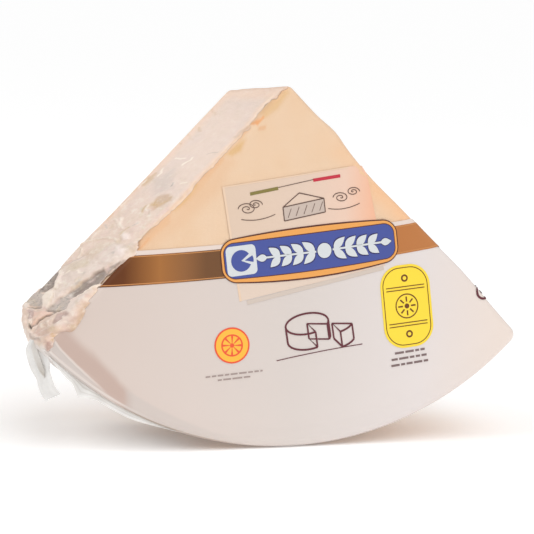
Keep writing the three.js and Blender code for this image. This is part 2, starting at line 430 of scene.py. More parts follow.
@dataclass(frozen=True)
class Patch:
    """A fold, a field or a line of the crumpled film.

    Its points are (run, across): down the wedge's left front edge, and over it, towards the back
    on the left cut and, below 0, along the front. A patch of no width is an outline, otherwise it
    is a line of that half-width. "soft" is how far its edge fades and "speck" how speckled it is.
    """

    tone: Tone
    points: tuple[Flat, ...]
    soft: float = 0.8
    cover: float = 1.0
    height: float = 0.0
    width: float = 0.0
    speck: float = 0.0

    @cached_property
    def box(self) -> tuple[float, float, float, float]:
        """The lowest and highest run and across that it reaches."""
        more = self.soft + self.width
        runs, acrosses = zip(*self.points)
        return min(runs) - more, max(runs) + more, min(acrosses) - more, max(acrosses) + more

    def share(self, run: float, across: float) -> float:
        """Finds how much of the patch is at a place.

        Args:
            run: Down the left front edge.
            across: Over the edge.

        Returns:
            1 within the patch, fading to 0 at its edge.
        """
        low, high, near, far = self.box
        if not (low < run < high and near < across < far):
            return 0.0
        closed = self.width == 0.0
        gap, within = math.inf, False
        ends = self.points[1:] + self.points[:1] if closed else self.points[1:]
        for (run0, across0), (run1, across1) in zip(self.points, ends):
            dx, dy = run1 - run0, across1 - across0
            share = clamp(((run - run0) * dx + (across - across0) * dy) / (dx * dx + dy * dy))
            gap = min(gap, math.hypot(run - run0 - dx * share, across - across0 - dy * share))
            if closed and (across0 > across) != (across1 > across):
                within ^= run < run0 + dx * (across - across0) / dy
        inward = self.width - gap if not closed else gap if within else -gap
        return smooth(inward, -self.soft, self.soft)


class Place:
    """A point of the skin, measured for the relief."""

    foreshortened: float = 0.36

    def __init__(self, point: Vector, normal: Vector) -> None:
        """Measures a skin point.

        Args:
            point: The point, in the upright wheel frame.
            normal: The skin's outward normal there.
        """
        drop = WHEEL.radius - point.z
        radial = Vector((point.x, 0.0, -drop))
        heel = normal.dot(radial.normalized()) if radial.length > 1e-6 else 0.0
        self.x, self.y = point.x, point.y
        self.run, self.inside = (drop - point.x) / ROOT2, (drop + point.x) / ROOT2
        across = point.y - self.inside
        self.across = across * (self.foreshortened if across > 0 else 1.0)
        self.distance = math.hypot(point.x, drop)
        self.angle = math.degrees(math.atan2(point.x, drop))
        self.leftward = smooth((-normal.x + normal.z) / ROOT2, 0.15, 0.8)
        self.rightward = smooth((normal.x + normal.z) / ROOT2, 0.15, 0.8)
        self.forward, self.heelward = smooth(-normal.y, 0.3, 0.9), smooth(heel, 0.3, 0.9)


@dataclass(frozen=True)
class Relief:
    """The uneven shape of the wedge and of the film over it.

    The patches lie one over the other in this order, and "edge" is the line where the loose film
    of the left cut ends on the front, as (run, across).
    """

    patches: tuple[Patch, ...] = (
        # the upper half: peach at the apex and along the back, a painted highlight along the front edge
        Patch(Tone.PEACH, ((-6, -1), (13, -1), (9, 40), (-6, 40)), 4, 0.7),
        Patch(Tone.PEACH, ((0, 31), (60, 30), (124, 32), (124, 42), (0, 42)), 3, 0.75),
        Patch(Tone.PEACH, ((8, 3.4), (21, 3.8), (30, 2.4), (54, 1.4), (76, 2.0), (93, 0.8),
                           (103, 1.2), (116, 2.6)), 1.8, 0.75, 0, 1.6),
        Patch(Tone.GLEAM, ((10, 3.0), (21, 3.3), (30, 1.9), (54, 0.9), (76, 1.5), (93, 0.3),
                           (103, 0.8), (116, 2.1), (127, 2.4)), 0.6, 0.8, 0.2, 0.5),
        Patch(Tone.PINK, ((98, 4.2), (120, 6.3), (126, 3.1), (102, 1)), 1.2, 0.5),
        Patch(Tone.OLIVE, ((100, 16), (95, 15.2), (92, 12), (93, 8), (96, 6.4), (100, 8.3),
                           (103, 9.6), (104, 12)), 2.2, 1, -0.4),
        Patch(Tone.STRAW, ((103, 19.7), (101, 17.8), (105, 15.6), (106, 17)), 0.9, 0.9),
        Patch(Tone.GREY, ((104, 13.8), (107, 9.9)), 0.5, 0.5, 0, 0.3),
        Patch(Tone.ASH, ((70, 22), (86, 12), (92, 18), (80, 28)), 3.0, 0.4),
        Patch(Tone.SMOKE, ((58, 9.8), (56, 4.2)), 0.5, 0.35, 0, 0.3),
        Patch(Tone.LIGHT, ((61, 27.3), (62, 21.2)), 0.5, 1, 0, 0.4),
        Patch(Tone.LIGHT, ((67, 19), (61, 16.5)), 0.5, 1, 0, 0.5),
        Patch(Tone.LIGHT, ((82, 9.2), (81, 6.1)), 0.5, 1, 0, 0.4),
        Patch(Tone.LIGHT, ((76, 27.6), (70, 29)), 0.5, 1, 0, 0.5),
        Patch(Tone.SMOKE, ((82, 14), (84, 13)), 0.5, 0.7, 0, 0.3),
        Patch(Tone.OLIVE, ((19, 34.6), (24, 28)), 0.8, 0.35, 0, 0.5),
        Patch(Tone.OLIVE, ((35, 32.2), (38, 28.1)), 0.7, 0.45, 0, 0.5),
        Patch(Tone.OLIVE, ((41, 33.8), (45, 28)), 0.8, 0.3, 0, 0.5),
        Patch(Tone.OLIVE, ((47, 36.6), (49, 33.2)), 0.7, 0.5, 0, 0.5),
        Patch(Tone.OLIVE, ((80, 33.7), (75, 31)), 1.0, 0.6, 0, 1.2),
        Patch(Tone.AMBER, ((91, 35), (87, 34)), 0.8, 0.5, 0, 0.8),
        Patch(Tone.AMBER, ((102, 34.5), (98, 34)), 0.8, 0.6, 0, 0.8),
        Patch(Tone.AMBER, ((112, 34.4), (108, 34.3)), 0.8, 0.8, 0, 0.8),
        Patch(Tone.STRAW, ((123, 17.4), (119, 15.4)), 0.7, 0.9, 0, 0.7),
        # small crumples and tinted spots of the middle, with painted highlights on the crumples
        Patch(Tone.TAN, ((36, 1.2), (40, 1.6), (44, 2.6)), 0.8, 0.7, 0, 0.8),
        Patch(Tone.TAN, ((92.7, 16), (90.7, 13.4), (91.3, 8.8), (94.8, 7.1), (98, 9.5),
                         (97.2, 13.4)), 1.8, 0.75),
        Patch(Tone.OLIVE, ((83.3, 33.9), (80.1, 33.1), (76.8, 31.1), (78.8, 28.9),
                           (81.6, 30.6), (84.9, 31.4)), 1.4, 0.7),
        Patch(Tone.LIGHT, ((86.6, 33.1), (83.3, 33.6), (80.5, 33.4)), 0.6, 0.9, 0.3, 0.4),
        Patch(Tone.LIGHT, ((102.3, 33.7), (99.5, 33.3), (95.4, 33.1)), 0.6, 0.8, 0.3, 0.4),
        Patch(Tone.OLIVE, ((107, 15.7), (104, 16.8), (100.9, 17.8)), 0.7, 0.8, 0, 0.6),
        Patch(Tone.TAN, ((107, 10.7), (104, 12.3)), 0.6, 0.8, 0, 0.6),
        Patch(Tone.LIGHT, ((105.3, 13.8), (102.3, 15.7), (100.1, 16.6)), 0.5, 0.8, 0.2, 0.4),
        Patch(Tone.LIGHT, ((112.5, 25.6), (116.2, 23), (119.8, 19.2)), 0.8, 0.9, 0.5, 0.8),
        Patch(Tone.LIGHT, ((112.8, 29.4), (116.4, 24.6), (120, 21.4)), 0.8, 0.6, 0.3, 0.7),
        Patch(Tone.OLIVE, ((124.8, 15.6), (121.8, 15.7), (119, 15.6)), 0.7, 0.6, 0, 0.7),
        Patch(Tone.BLUSH, ((125.6, 15.3), (123.1, 14), (124.9, 9.4), (127.8, 7.8),
                           (128.9, 10.7)), 1.4, 0.8, 0.4),
        Patch(Tone.ASH, ((116.9, 13.2), (115.3, 12.5)), 0.6, 0.7, 0, 0.5),
        Patch(Tone.ASH, ((117.9, 32.4), (120.8, 29.4)), 0.6, 0.7, 0, 0.4),
        Patch(Tone.LIGHT, ((129.8, 32.6), (126.6, 31.8), (123.4, 32.3)), 0.6, 0.7, 0.4, 0.5),
        # the crease above the plate, with painted highlights along it, and the plate
        Patch(Tone.STRAW, ((142, 26.3), (133, 24.6), (131, 13.2), (134, 5.2), (141, 11.8)), 2.5, 0.7),
        Patch(Tone.SHELL, ((131, 14), (134, 5), (131, 1), (150, 5), (160, 11), (172, 16), (186, 17),
                           (181, 27), (171, 27), (158, 34), (148, 29), (140, 18)), 2.0, 0.8, 0.9),
        Patch(Tone.SHELL, ((136, 9.3), (130, 3.3), (133, -2.6), (143, -2.2), (148, 3), (148, 12)),
              1.8, 0.6, 0.5),
        Patch(Tone.LIGHT, ((135, 36), (129.5, 28.2), (128, 21), (129, 14.3)), 0.7, 0.7, 0.7, 0.6),
        Patch(Tone.LIGHT, ((138, 32), (142, 29.4), (146, 29), (150, 34)), 0.7, 0.6, 0.7, 0.6),
        Patch(Tone.GREY, ((152.5, 33.3), (148.5, 28.2), (143.5, 26)), 0.5, 0.45, 0, 0.4),
        Patch(Tone.STRAW, ((152, 31), (148, 25), (142, 20.3), (151, 16.5), (156, 22.7),
                           (157, 27.6)), 2.0, 0.8),
        Patch(Tone.LIGHT, ((157, 32.2), (158, 29), (171, 22.6), (172, 24.4)), 0.7, 0.7, 0.5),
        Patch(Tone.ASH, ((162, 13.5), (164, 13.5)), 1.2, 0.8, 0, 1.0),
        Patch(Tone.ASH, ((156.5, 14.6), (158, 14.4)), 1.0, 0.5, 0, 0.8),
        Patch(Tone.LIGHT, ((159.4, 27.1), (156, 25.3)), 0.4, 1, 0, 0.4),
        Patch(Tone.LIGHT, ((166, 24.9), (165, 21)), 0.4, 0.9, 0, 0.35),
        Patch(Tone.LIGHT, ((156, 19.8), (156.5, 15.8)), 0.5, 1, 0, 0.5),
        Patch(Tone.STRAW, ((137, 19.4), (135, 17)), 0.8, 0.7, 0, 0.6),
        Patch(Tone.STRAW, ((133, 4.2), (136, 0.4)), 0.8, 0.8, 0, 0.7),
        Patch(Tone.BLUSH, ((135, 10.4), (132.5, 9.2), (134.2, 4.1), (138.9, -0.6), (141.4, 1.6),
                           (139.8, 6.3)), 1.8, 0.85, 0.3),
        Patch(Tone.TAN, ((141.1, 27.4), (138.5, 25.5), (141.3, 17.8), (145.6, 15),
                         (145.6, 20.3)), 2.6, 0.55),
        Patch(Tone.ASH, ((138.7, 9.7), (139.6, 7.9)), 0.6, 0.8, 0, 0.4),
        # the speckled streak of painted grey shade at the back, the grey field below it and a painted
        # highlight
        Patch(Tone.GREY, ((152, 37), (159, 36), (166, 37), (172, 36), (176, 33.4), (174, 28),
                          (169, 26.3), (165, 29.2), (156, 33.6)), 0.7, 1, -0.8, 0, 1.0),
        Patch(Tone.ASH, ((175, 33.7), (178, 36.6), (184, 36.6), (187, 33.2), (188, 30.4),
                         (186.5, 21.3), (181, 24.5), (177, 28.6)), 0.7, 1, 0.4, 0, 0.45),
        Patch(Tone.LIGHT, ((176, 28), (172, 23.7), (175, 20.8), (180, 18.3), (186, 16.2),
                           (185.6, 21), (181, 24.3)), 0.6, 0.8, 0.8),
        Patch(Tone.SHELL, ((185, 37), (190, 35.5), (193, 30.3), (187, 31.4)), 0.7, 1, 0.8),
        # the streak of painted grey shade in the groove that comes round the front edge
        Patch(Tone.GREY, ((151, 6.5), (159, 9.8), (166, 12), (172, 13.5), (176, 7.4), (168, 3.8),
                          (162, 1.6), (154, 1.0)), 0.8, 1, -0.9),
        Patch(Tone.GREY, ((141, -1.0), (151, 4.5), (154, 1.0)), 0.8, 0.8),
        Patch(Tone.SMOKE, ((156, 4.5), (163, 6.6), (170, 9.0)), 1.3, 0.6, -0.2, 0.9),
        Patch(Tone.ASH, ((171, 13), (176, 16), (181, 16.6), (187, 16.8), (185.5, 7.5), (183, 5.7),
                         (175.6, 7.4)), 0.7, 1, -0.4, 0, 0.5),
        Patch(Tone.SMOKE, ((187, 16.1), (186, 10.7), (184.6, 7.0)), 0.6, 0.85, -0.4, 0.7, 0.6),
        # the gathered corner, with painted shade in its folds and gap and painted highlights on its
        # ridges
        Patch(Tone.SMOKE, ((190, 30.2), (188.4, 26.2), (187, 22)), 0.5, 0.8, -0.4, 0.5),
        Patch(Tone.ROSE, ((193, 30), (190, 27.8), (191.4, 22.5), (199, 21.4), (199.5, 24)), 0.8, 1),
        Patch(Tone.PINK, ((192, 25), (188, 16.5), (187.6, 12.6), (196, 15.6), (202, 15.7),
                          (201, 18.6)), 0.7, 1, 0.5),
        Patch(Tone.ORANGE, ((199.5, 18.8), (195.5, 18.6)), 0.4, 0.45, 0, 0.25),
        Patch(Tone.ORANGE, ((200.5, 16.6), (196, 16.6)), 0.4, 0.4, 0, 0.25),
        Patch(Tone.CREAM, ((201, 15.1), (194, 13.7), (189, 11.7), (186, 8.7), (193, 6.2),
                           (200, 0.5), (205, -1), (206.5, 4.4), (205, 11.8)), 0.8, 1, 0.2, 0, 0.1),
        Patch(Tone.ROSE, ((199, 14), (192, 9.5), (196, 5), (202, 1.5), (206, 3), (206, 11)), 2.5, 0.42),
        Patch(Tone.SMOKE, ((185.5, 8.6), (188, 12.2), (191, 14.0), (196, 14.9), (202, 15.6)),
              0.5, 0.85, -0.5, 0.55),
        Patch(Tone.LIGHT, ((197, 11), (199, 9.4)), 0.6, 0.7, 0.5, 0.5),
        Patch(Tone.LIGHT, ((194, 9.4), (197, 6.0)), 0.6, 0.5, 0.5, 0.5),
        Patch(Tone.SHELL, ((203, 20), (203.4, 16), (204.4, 11.8), (206, 3.2), (209, 6), (209, 16),
                           (206, 20)), 0.8, 1, 0.9),
        Patch(Tone.SMOKE, ((205.2, 12.4), (206.4, 7.9), (206.6, 3.4)), 0.5, 0.6, -0.3, 0.4),
        Patch(Tone.DARK, ((202.2, 20.4), (202.8, 15.9)), 0.4, 0.95, -0.5, 0.4),
        Patch(Tone.TAN, ((176, -0.6), (173, -1.6), (177, -3.7), (183, -5.9), (188, -6.7),
                         (193, -7.0), (192.5, -5.2), (187, -4.2), (181, -2.4)), 1.2, 0.85, 0.4),
        Patch(Tone.SHELL, ((177, 6.9), (163, 1.5), (166, 0.4), (173, 0.6), (179, 0.8),
                           (185, -0.6), (190, -2.6), (197, 2.2), (193, 5.6), (188, 7.4),
                           (183, 5.4)), 0.5, 1, 1.0),
        Patch(Tone.ROSE, ((193.6, 6.0), (189, 6.8), (184.6, 4.2), (186, 1.4), (191, 1.4),
                          (195, 3)), 0.9, 0.9, -0.7),
        Patch(Tone.LIGHT, ((177, 6.4), (171, 3.8), (165, 1), (161, 0.6)), 0.4, 0.9, 0.5, 0.4),
        Patch(Tone.LIGHT, ((188.6, 2.6), (191, -0.5), (189.5, -3.6)), 0.5, 0.6, 0.5, 0.4),
        Patch(Tone.ROSE, ((206, 1.4), (204, -1.9), (207, -4.5), (210, -3)), 0.8, 1, 0.8),
        Patch(Tone.ROSE, ((185, -1.2), (189.5, -2.4), (193, -4.4)), 1.8, 0.42, 0, 1.4),
        Patch(Tone.OLIVE, ((200.6, 0.9), (202, -1.4), (204, -3.1)), 0.6, 0.8, 0, 0.5),
        Patch(Tone.ROSE, ((189, -7.4), (193, -6.4), (195, -3.2), (199, -0.2)), 1.6, 0.7, 0, 0.7),
    )
    edge: tuple[Flat, ...] = (
        (9, 2.6), (21, 3.0), (30, 1.4), (54, 0.2), (76, 0.9), (93, -0.8), (102, 0.2), (116, 1.4),
        (128, 1.7), (135, -2.2), (141, -1.7), (147, 0.2), (158, 0.9), (164, 0.4), (172, -1.2),
        (177, -3.5), (184, -6.0), (190, -7.0), (193, -6.6), (195, -3.2), (199, -0.2), (202, -0.8),
        (205, -3.2), (208, -4.0), (212, -1.5))
    pinch: Flat = (210.0, 11.0)

    @staticmethod
    def body(at: Place) -> float:
        """Finds the relief that the cheese and the film share.

        Args:
            at: The place.

        Returns:
            Its height.
        """
        right = (1.6 * bump(at.inside - 40, 10) - 1.2 * bump(at.inside - 76, 20)
                 + 1.4 * bump(at.inside - 158, 26)) * (1 - 0.7 * at.y / WHEEL.thickness)
        front = -1.3 * bump(at.distance - 198, 8) * bump(at.angle + 38, 9)
        front -= 0.6 * bump(at.distance - 199, 5) * smooth(at.angle, -26, -6)
        return right * at.rightward + front * at.forward

    def pleats(self, run: float, across: float) -> float:
        """Finds the fan of fine pleats that runs into the gathered corner.

        Args:
            run: Down the left front edge.
            across: Over the edge.

        Returns:
            The pleats' height, 0 to 1.
        """
        along, over = self.pinch[0] - run, across - self.pinch[1]
        reach = math.hypot(along, over)
        turn = math.degrees(math.atan2(over, along)) + 16 * facets(run, across, 12, 5)
        return abs((turn / 14.0) % 2.0 - 1.0) * smooth(reach, 1, 10) * bump(reach, 26)

    @staticmethod
    def frayed(run: float, across: float) -> Flat:
        """Returns a place moved a little, so that the patches' edges are uneven."""
        return (run + 1.5 * (facets(run, across, 3.1, 51) - 0.5),
                across + 1.5 * (facets(run, across, 2.7, 52) - 0.5))

    def covered(self, at: Place) -> float:
        """Finds where the loose film of the left cut lies.

        Args:
            at: The place.

        Returns:
            1 where it lies, 0 past its edge on the front.
        """
        near = self.edge[-1][1]
        for (run0, near0), (run1, near1) in zip(self.edge, self.edge[1:]):
            if at.run < run1:
                near = near0 + (near1 - near0) * clamp((at.run - run0) / (run1 - run0))
                break
        ragged = 0.8 * (facets(at.run, at.across, 4, 7) - 0.5)
        within = smooth(at.across, near - 0.25 + ragged, near + 0.25 + ragged)
        return within * max(at.leftward, at.forward)

    def loose(self, run: float, across: float) -> float:
        """Finds how high the loose film of the left cut stands.

        Args:
            run: Down the left front edge.
            across: Over the edge.

        Returns:
            Its height.
        """
        low = smooth(run, 92, 150)
        height = (0.1 + 0.6 * low) * facets(run, across, 12, 1)
        height += (0.06 + 0.22 * low) * facets(run * 0.9 + across * 0.3, across, 5.2, 2)
        height += (0.02 + 0.08 * low) * facets(run, across * 1.1, 2.3, 3)
        height += 1.3 * self.pleats(run, across)
        run, across = self.frayed(run, across)
        height += sum(p.height * p.share(run, across) for p in self.patches if p.height)
        return max(0.5 * smooth(1.5 - across, 0, 1) * low - 0.2, height)

    @staticmethod
    def tight(at: Place) -> float:
        """Returns the height of the film where it is drawn tight."""
        heel = 0.5 * facets(at.x * 0.5, at.y, 12, 11) * at.heelward * smooth(at.y, 3, 12)
        return heel + 0.5 * facets(at.inside * 0.5, at.y, 15, 3) * at.rightward * smooth(at.y, 36, 60)

    def film(self, at: Place) -> float:
        """Finds how high the film lies over the cheese.

        Args:
            at: The place.

        Returns:
            Its height.
        """
        covered = self.covered(at) * max(smooth(at.run, 126, 134), smooth(at.across, 0.5, 3.5))
        return (self.loose(at.run, at.across) * covered if covered > 0 else 0.0) + self.tight(at)

    @staticmethod
    def gather(at: Place) -> Vector:
        """Returns how far the back left corner is drawn in by the gathered film."""
        pull = bump(at.run - 214, 22) * bump(at.inside, 38) * smooth(at.y, 20, 98)
        return Vector((7.5 * pull, -6 * pull, 7.5 * pull))

    def dress(self, point: Vector, normal: Vector, lift: float, layer: Layer) -> Vector:
        """Moves a smooth skin point to its place in the relief.

        Args:
            point: The smooth point, in the upright wheel frame.
            normal: The skin's outward normal there.
            lift: How far to stand off.
            layer: What lies there.

        Returns:
            The moved point.
        """
        at = Place(point, normal)
        height = self.body(at) + lift
        if layer is Layer.FILM:
            height += self.film(at)
        elif layer is Layer.PRINT:
            height += self.tight(at)
        return point + normal * height + self.gather(at)


RELIEF = Relief()


@dataclass(frozen=True)
class Fineness:
    """How many columns each stretch of the outline gets, and the rings' steps in millimetres."""

    left: int
    corner: int
    heel: int
    right: int
    body_step: float
    cap: tuple[float, ...]
    apex: int = 6


class Skin:
    """The wedge's closed skin, lofted from rings of the outline, front cap to back cap."""

    def __init__(self, fine: Fineness) -> None:
        """Lays out the columns and rings.

        Args:
            fine: The skin's fineness.
        """
        wheel = WHEEL
        counts = (fine.left, fine.corner, fine.heel, fine.corner, fine.right, fine.apex)
        self.columns = [(side, i / count) for side, count in zip(Side, counts) for i in range(count)]
        body = wheel.thickness - wheel.rim_round - wheel.edge_round
        steps = max(2, round(body / fine.body_step))
        turns = max(6, round(wheel.rim_round * 1.57 / fine.body_step))
        depths = [wheel.edge_round * (1 - math.cos(i / 4 * math.pi / 2)) for i in range(5)]
        depths += [wheel.edge_round + i / steps * body for i in range(1, steps + 1)]
        depths += [wheel.edge_round + body + wheel.rim_round * math.sin(i / turns * math.pi / 2)
                   for i in range(1, turns + 1)]
        self.rings = ([(0.0, scale) for scale in fine.cap] + [(y, 1.0) for y in depths]
                      + [(wheel.thickness, scale) for scale in reversed(fine.cap)])

    @staticmethod
    def outline(side: Side, share: float, level: Flat) -> Flat:
        """Finds a point of the rounded sector.

        Args:
            side: Which stretch of the outline.
            share: How far along it, 0 to 1.
            level: The heel's radius and how far the sides are cut in.

        Returns:
            The point's x and drop.
        """
        radius, inset = level
        half = math.radians(WHEEL.half_angle)
        normal = half + math.pi / 2
        reach = radius - WHEEL.corner_round
        turn = half - math.asin((inset + WHEEL.corner_round) / reach)
        right = (reach * math.sin(turn), reach * math.cos(turn))
        left = (-right[0], right[1])
        apex = (0.0, (inset + WHEEL.apex_round) / math.sin(half))

        def corner(centre: Flat, angle: float, size: float = WHEEL.corner_round) -> Flat:
            """Returns the place on a round at an angle from straight down."""
            return moved(centre, size * math.sin(angle), size * math.cos(angle))

        if side is Side.LEFT:
            return between(corner(apex, -normal, WHEEL.apex_round), corner(left, -normal), share)
        if side is Side.LEFT_CORNER:
            return corner(left, -normal + (normal - turn) * share)
        if side is Side.HEEL:
            return corner((0.0, 0.0), turn * (2 * share - 1), radius)
        if side is Side.RIGHT_CORNER:
            return corner(right, turn + (normal - turn) * share)
        if side is Side.RIGHT:
            return between(corner(right, normal), corner(apex, normal, WHEEL.apex_round), share)
        return corner(apex, normal + (2 * math.pi - 2 * normal) * share, WHEEL.apex_round)

    def build(self) -> bmesh.types.BMesh:
        """Builds the smooth skin in the upright wheel frame.

        Returns:
            The closed mesh, its faces outward and its normals up to date.
        """
        bm = bmesh.new()
        across, down = len(self.columns), len(self.rings) - 1
        bmesh.ops.create_grid(bm, x_segments=across, y_segments=down, size=1.0)
        middle = WHEEL.radius / (1 + math.sin(math.radians(WHEEL.half_angle)))
        levels = [WHEEL.level(y) for y, _ in self.rings]
        for vert in bm.verts:
            column = round((vert.co.x + 1) / 2 * across) % across
            ring = round((vert.co.y + 1) / 2 * down)
            y, scale = self.rings[ring]
            x, drop = self.outline(*self.columns[column], levels[ring])
            vert.co = WHEEL.upright(x * scale, y, middle + (drop - middle) * scale)
        bmesh.ops.remove_doubles(bm, verts=bm.verts, dist=1e-4)
        bmesh.ops.recalc_face_normals(bm, faces=bm.faces)
        bm.normal_update()
        return bm

    @staticmethod
    def dress(bm: bmesh.types.BMesh, lift: float, layer: Layer) -> bmesh.types.BMesh:
        """Gives a smooth skin its relief.

        Args:
            bm: The skin, in the upright wheel frame.
            lift: How far to stand off the cheese's own surface.
            layer: What the skin stands for.

        Returns:
            The same mesh.
        """
        places = [RELIEF.dress(v.co.copy(), v.normal.copy(), lift, layer) for v in bm.verts]
        for vert, place in zip(bm.verts, places):
            vert.co = place
        bm.normal_update()
        return bm


# Finishes


class Finish(Protocol):
    """What a piece is finished with: a material, and a slot name."""

    slot: str

    def build(self) -> bpy.types.Material:
        """Returns the finish as a material."""


@dataclass(frozen=True)
class PasteFinish:
    """Hard cheese: pale straw paste where it was cut, amber rind outside."""

    slot: str = "cheese_paste"
    paste: Colour = srgb(237, 206, 174)
    warm: Colour = srgb(234, 195, 154)
    speck: Colour = srgb(248, 228, 204)
    rind: Colour = srgb(190, 142, 94)
    pale_rind: Colour = srgb(208, 164, 116)
    under_rind: Colour = srgb(234, 194, 148)
    glow: Colour = srgb(251, 192, 138)

    def build(self) -> bpy.types.Material:
        """Builds the finish.

        Returns:
            The material.
        """
        g = Graph("hard_cheese")
        x, y, drop = g.wheel_frame()
        radius = (x * x + drop * drop) ** 0.5
        heel = WHEEL.radius - y * y * (WHEEL.heel_drop / WHEEL.thickness ** 2)
        deep = (heel - radius).at_most(WHEEL.thickness - y) + g.noise(22.0, 3.0) * 1.5
        cloud = g.noise(24.0, 3.0, 0.55).step(0.38, 0.66)
        right = ((drop - x) * (1 / ROOT2)).step(18.0, 0.0) * drop.step(20.0, 70.0)
        rind = g.coats(self.rind, (g.noise(36.0, 4.0, 0.6).step(0.38, 0.62) * 0.7, self.pale_rind),
                       (g.noise(300.0, 2.0).step(0.6, 0.7) * 0.3, self.under_rind))
        paste = g.coats(
            self.paste, (cloud * 0.42, self.warm),
            (g.noise(900.0, 1.0).step(0.66, 0.74) * 0.35, self.speck),
            (deep.step(9.0, 3.5) * 0.8, self.under_rind), (deep.step(3.2, 1.6), rind),
            (right * (0.5 + cloud * 0.45), self.glow),
            (g.attribute("stained"), g.attribute("stain", "Color")))
        grain = g.noise(420.0, 4.0, 0.62)
        return g.surface(Base_Color=paste, Roughness=0.5, Normal=g.relief(grain, 0.0004, 0.3))


@dataclass(frozen=True)
class FilmFinish:
    """Clear shrink film: nearly invisible where tight, clouded and speckled where crumpled, with
    painted highlights and shade in its fine crumples.
    """

    slot: str = "clear_film"
    # painted shade of the fine crumples, and the dark specks along the streaks
    dark: Colour = srgb(84, 72, 66)
    # painted highlight of the fine crumples
    light: Colour = srgb(255, 244, 230)
    straw: Colour = under_gloss(216, 194, 160)
    rose: Colour = under_gloss(236, 204, 196)

    def build(self) -> bpy.types.Material:
        """Builds the finish.

        Returns:
            The material.
        """
        g = Graph("clear_film")
        seen = g.drawn()
        cover = g.attribute("cover").step(0.4, 0.6)
        run = g.along(-1 / ROOT2, 0.0, 1 / ROOT2)
        crumple = run.step(60.0, 115.0) * 0.65 + 0.35
        # the first noise paints the fine crumples' highlights and shade
        crumple_lighting, cast = g.noise(240.0, 4.0, 0.66, seen), g.noise(150.0, 3.0, 0.6, seen)
        along = g.node("ShaderNodeCombineXYZ", None, run * 0.5, g.along(0.0, 1.0, 0.0) * 0.16)
        streaks = g.noise(1.1, 3.0, 0.65, along).step(0.54, 0.63) * g.attribute("speck")
        tint = g.coats(
            g.attribute("tint", "Color"),
            ((cast - 0.54).at_least(0.0) * 2.6 * crumple * cover, self.straw),
            ((0.46 - cast).at_least(0.0) * 2.6 * crumple * cover, self.rose),
            ((crumple_lighting - 0.52).at_least(0.0) * 2.6 * crumple * cover, self.light),
            ((0.48 - crumple_lighting).at_least(0.0) * 0.55 * crumple, self.dark), (streaks * 0.8, self.dark))
        return g.surface(
            Base_Color=tint, Roughness=0.36, Specular_IOR_Level=0.15, Coat_Weight=0.06,
            Coat_Roughness=0.1, Alpha=(cover * 0.98).at_least(g.attribute("veil")).at_least(0.04),
            Normal=g.relief(g.noise(380.0, 3.0, 0.6, seen), 0.0008, 0.45))


@dataclass(frozen=True)
class WhiteInkFinish:
    """The white field: warm white ink, cooler and, as painted light, brighter to the right, with
    painted shade by the gathered corner.

    The stops start so far left of the middle, and span so much, in millimetres.
    """

    slot: str = "white_print"
    left: float = 125.0
    span: float = 260.0
    # besides turning cooler, the stops paint light: darker at the left, brighter at the right
    stops: tuple[tuple[float, ...], ...] = (
        (0.0, 216, 199, 189), (0.25, 219, 205, 197), (0.5, 218, 208, 202), (0.8, 229, 220, 217),
        (1.0, 236, 221, 211))
    # painted shade: the band along the rim by the gathered corner, and a thin line at the rim's fold
    painted_shade: Colour = srgb(196, 170, 158)
    pleat: Colour = srgb(203, 193, 187)
    # painted highlight along the film's folds at the rim
    shine: Colour = srgb(238, 229, 222)
    rind: Colour = srgb(160, 138, 116)

    @staticmethod
    def line(value: Sock, middle: float, half: float) -> Sock:
        """Returns a thin soft line where a value is at its middle."""
        return abs(value - middle).step(half, half * 0.3)

    @cache
    def build(self) -> bpy.types.Material:
        """Builds the finish.

        Returns:
            The material.
        """
        g = Graph("white_ink")
        x, y, drop = g.wheel_frame()
        radius = (x * x + drop * drop) ** 0.5
        wander = radius + (g.noise(60.0, 2.0) - 0.5) * 3.0
        inner = wander - (x + 118.0).at_least(0.0) * 0.33
        outer = wander - (x + 134.0) * 0.15
        # where the painted shade lies: a band along the lower left rim
        shade = inner.step(190.5, 197.0) * outer.step(206.5, 203.5) * x.step(-93.0, -101.0)
        rim = radius.step(203.5, 206.5)
        tongue = (radius - (x + 100.0) * 0.1).step(199.0, 201.5) * x.step(-102.0, -97.0)
        under = self.line(y, 2.3, 0.8) * x.step(-106.0, -90.0) * x.step(-20.0, -60.0)
        # over the ink: painted shade, the grey of doubled film, painted highlights and the rind's line
        ink = g.coats(
            g.node("ShaderNodeValToRGB", {"stops": self.stops}, (x + self.left) / self.span),
            (shade * 0.9, self.painted_shade),
            (outer.step(203.8, 205.0) * x.step(-106.0, -126.0) * 0.75, self.pleat),
            (self.line(outer, 204.2, 1.0) * x.step(-108.0, -122.0) * 0.5, self.shine),
            (self.line(wander, 208.6, 0.7) * x.step(-104.0, -116.0) * 0.45, self.painted_shade),
            (self.line(y, 0.9, 0.6) * x.step(-80.0, -98.0) * rim * 0.6, self.shine),
            (tongue * x.step(-20.0, -70.0) * 0.5, self.pleat), (under * rim * 0.75, self.rind))
        return g.surface(Base_Color=ink, Roughness=0.34, Coat_Weight=0.3, Coat_Roughness=0.12,
                         Normal=g.relief(g.noise(26.0, 2.0), 0.0012, 0.25))


@dataclass(frozen=True)
class InkFinish:
    """A plain ink under the film's gloss."""

    name: str
    slot: str
    colour: Colour

    @cache
    def build(self) -> bpy.types.Material:
        """Returns the finish as a material."""
        return Graph(self.name).printed(self.colour)


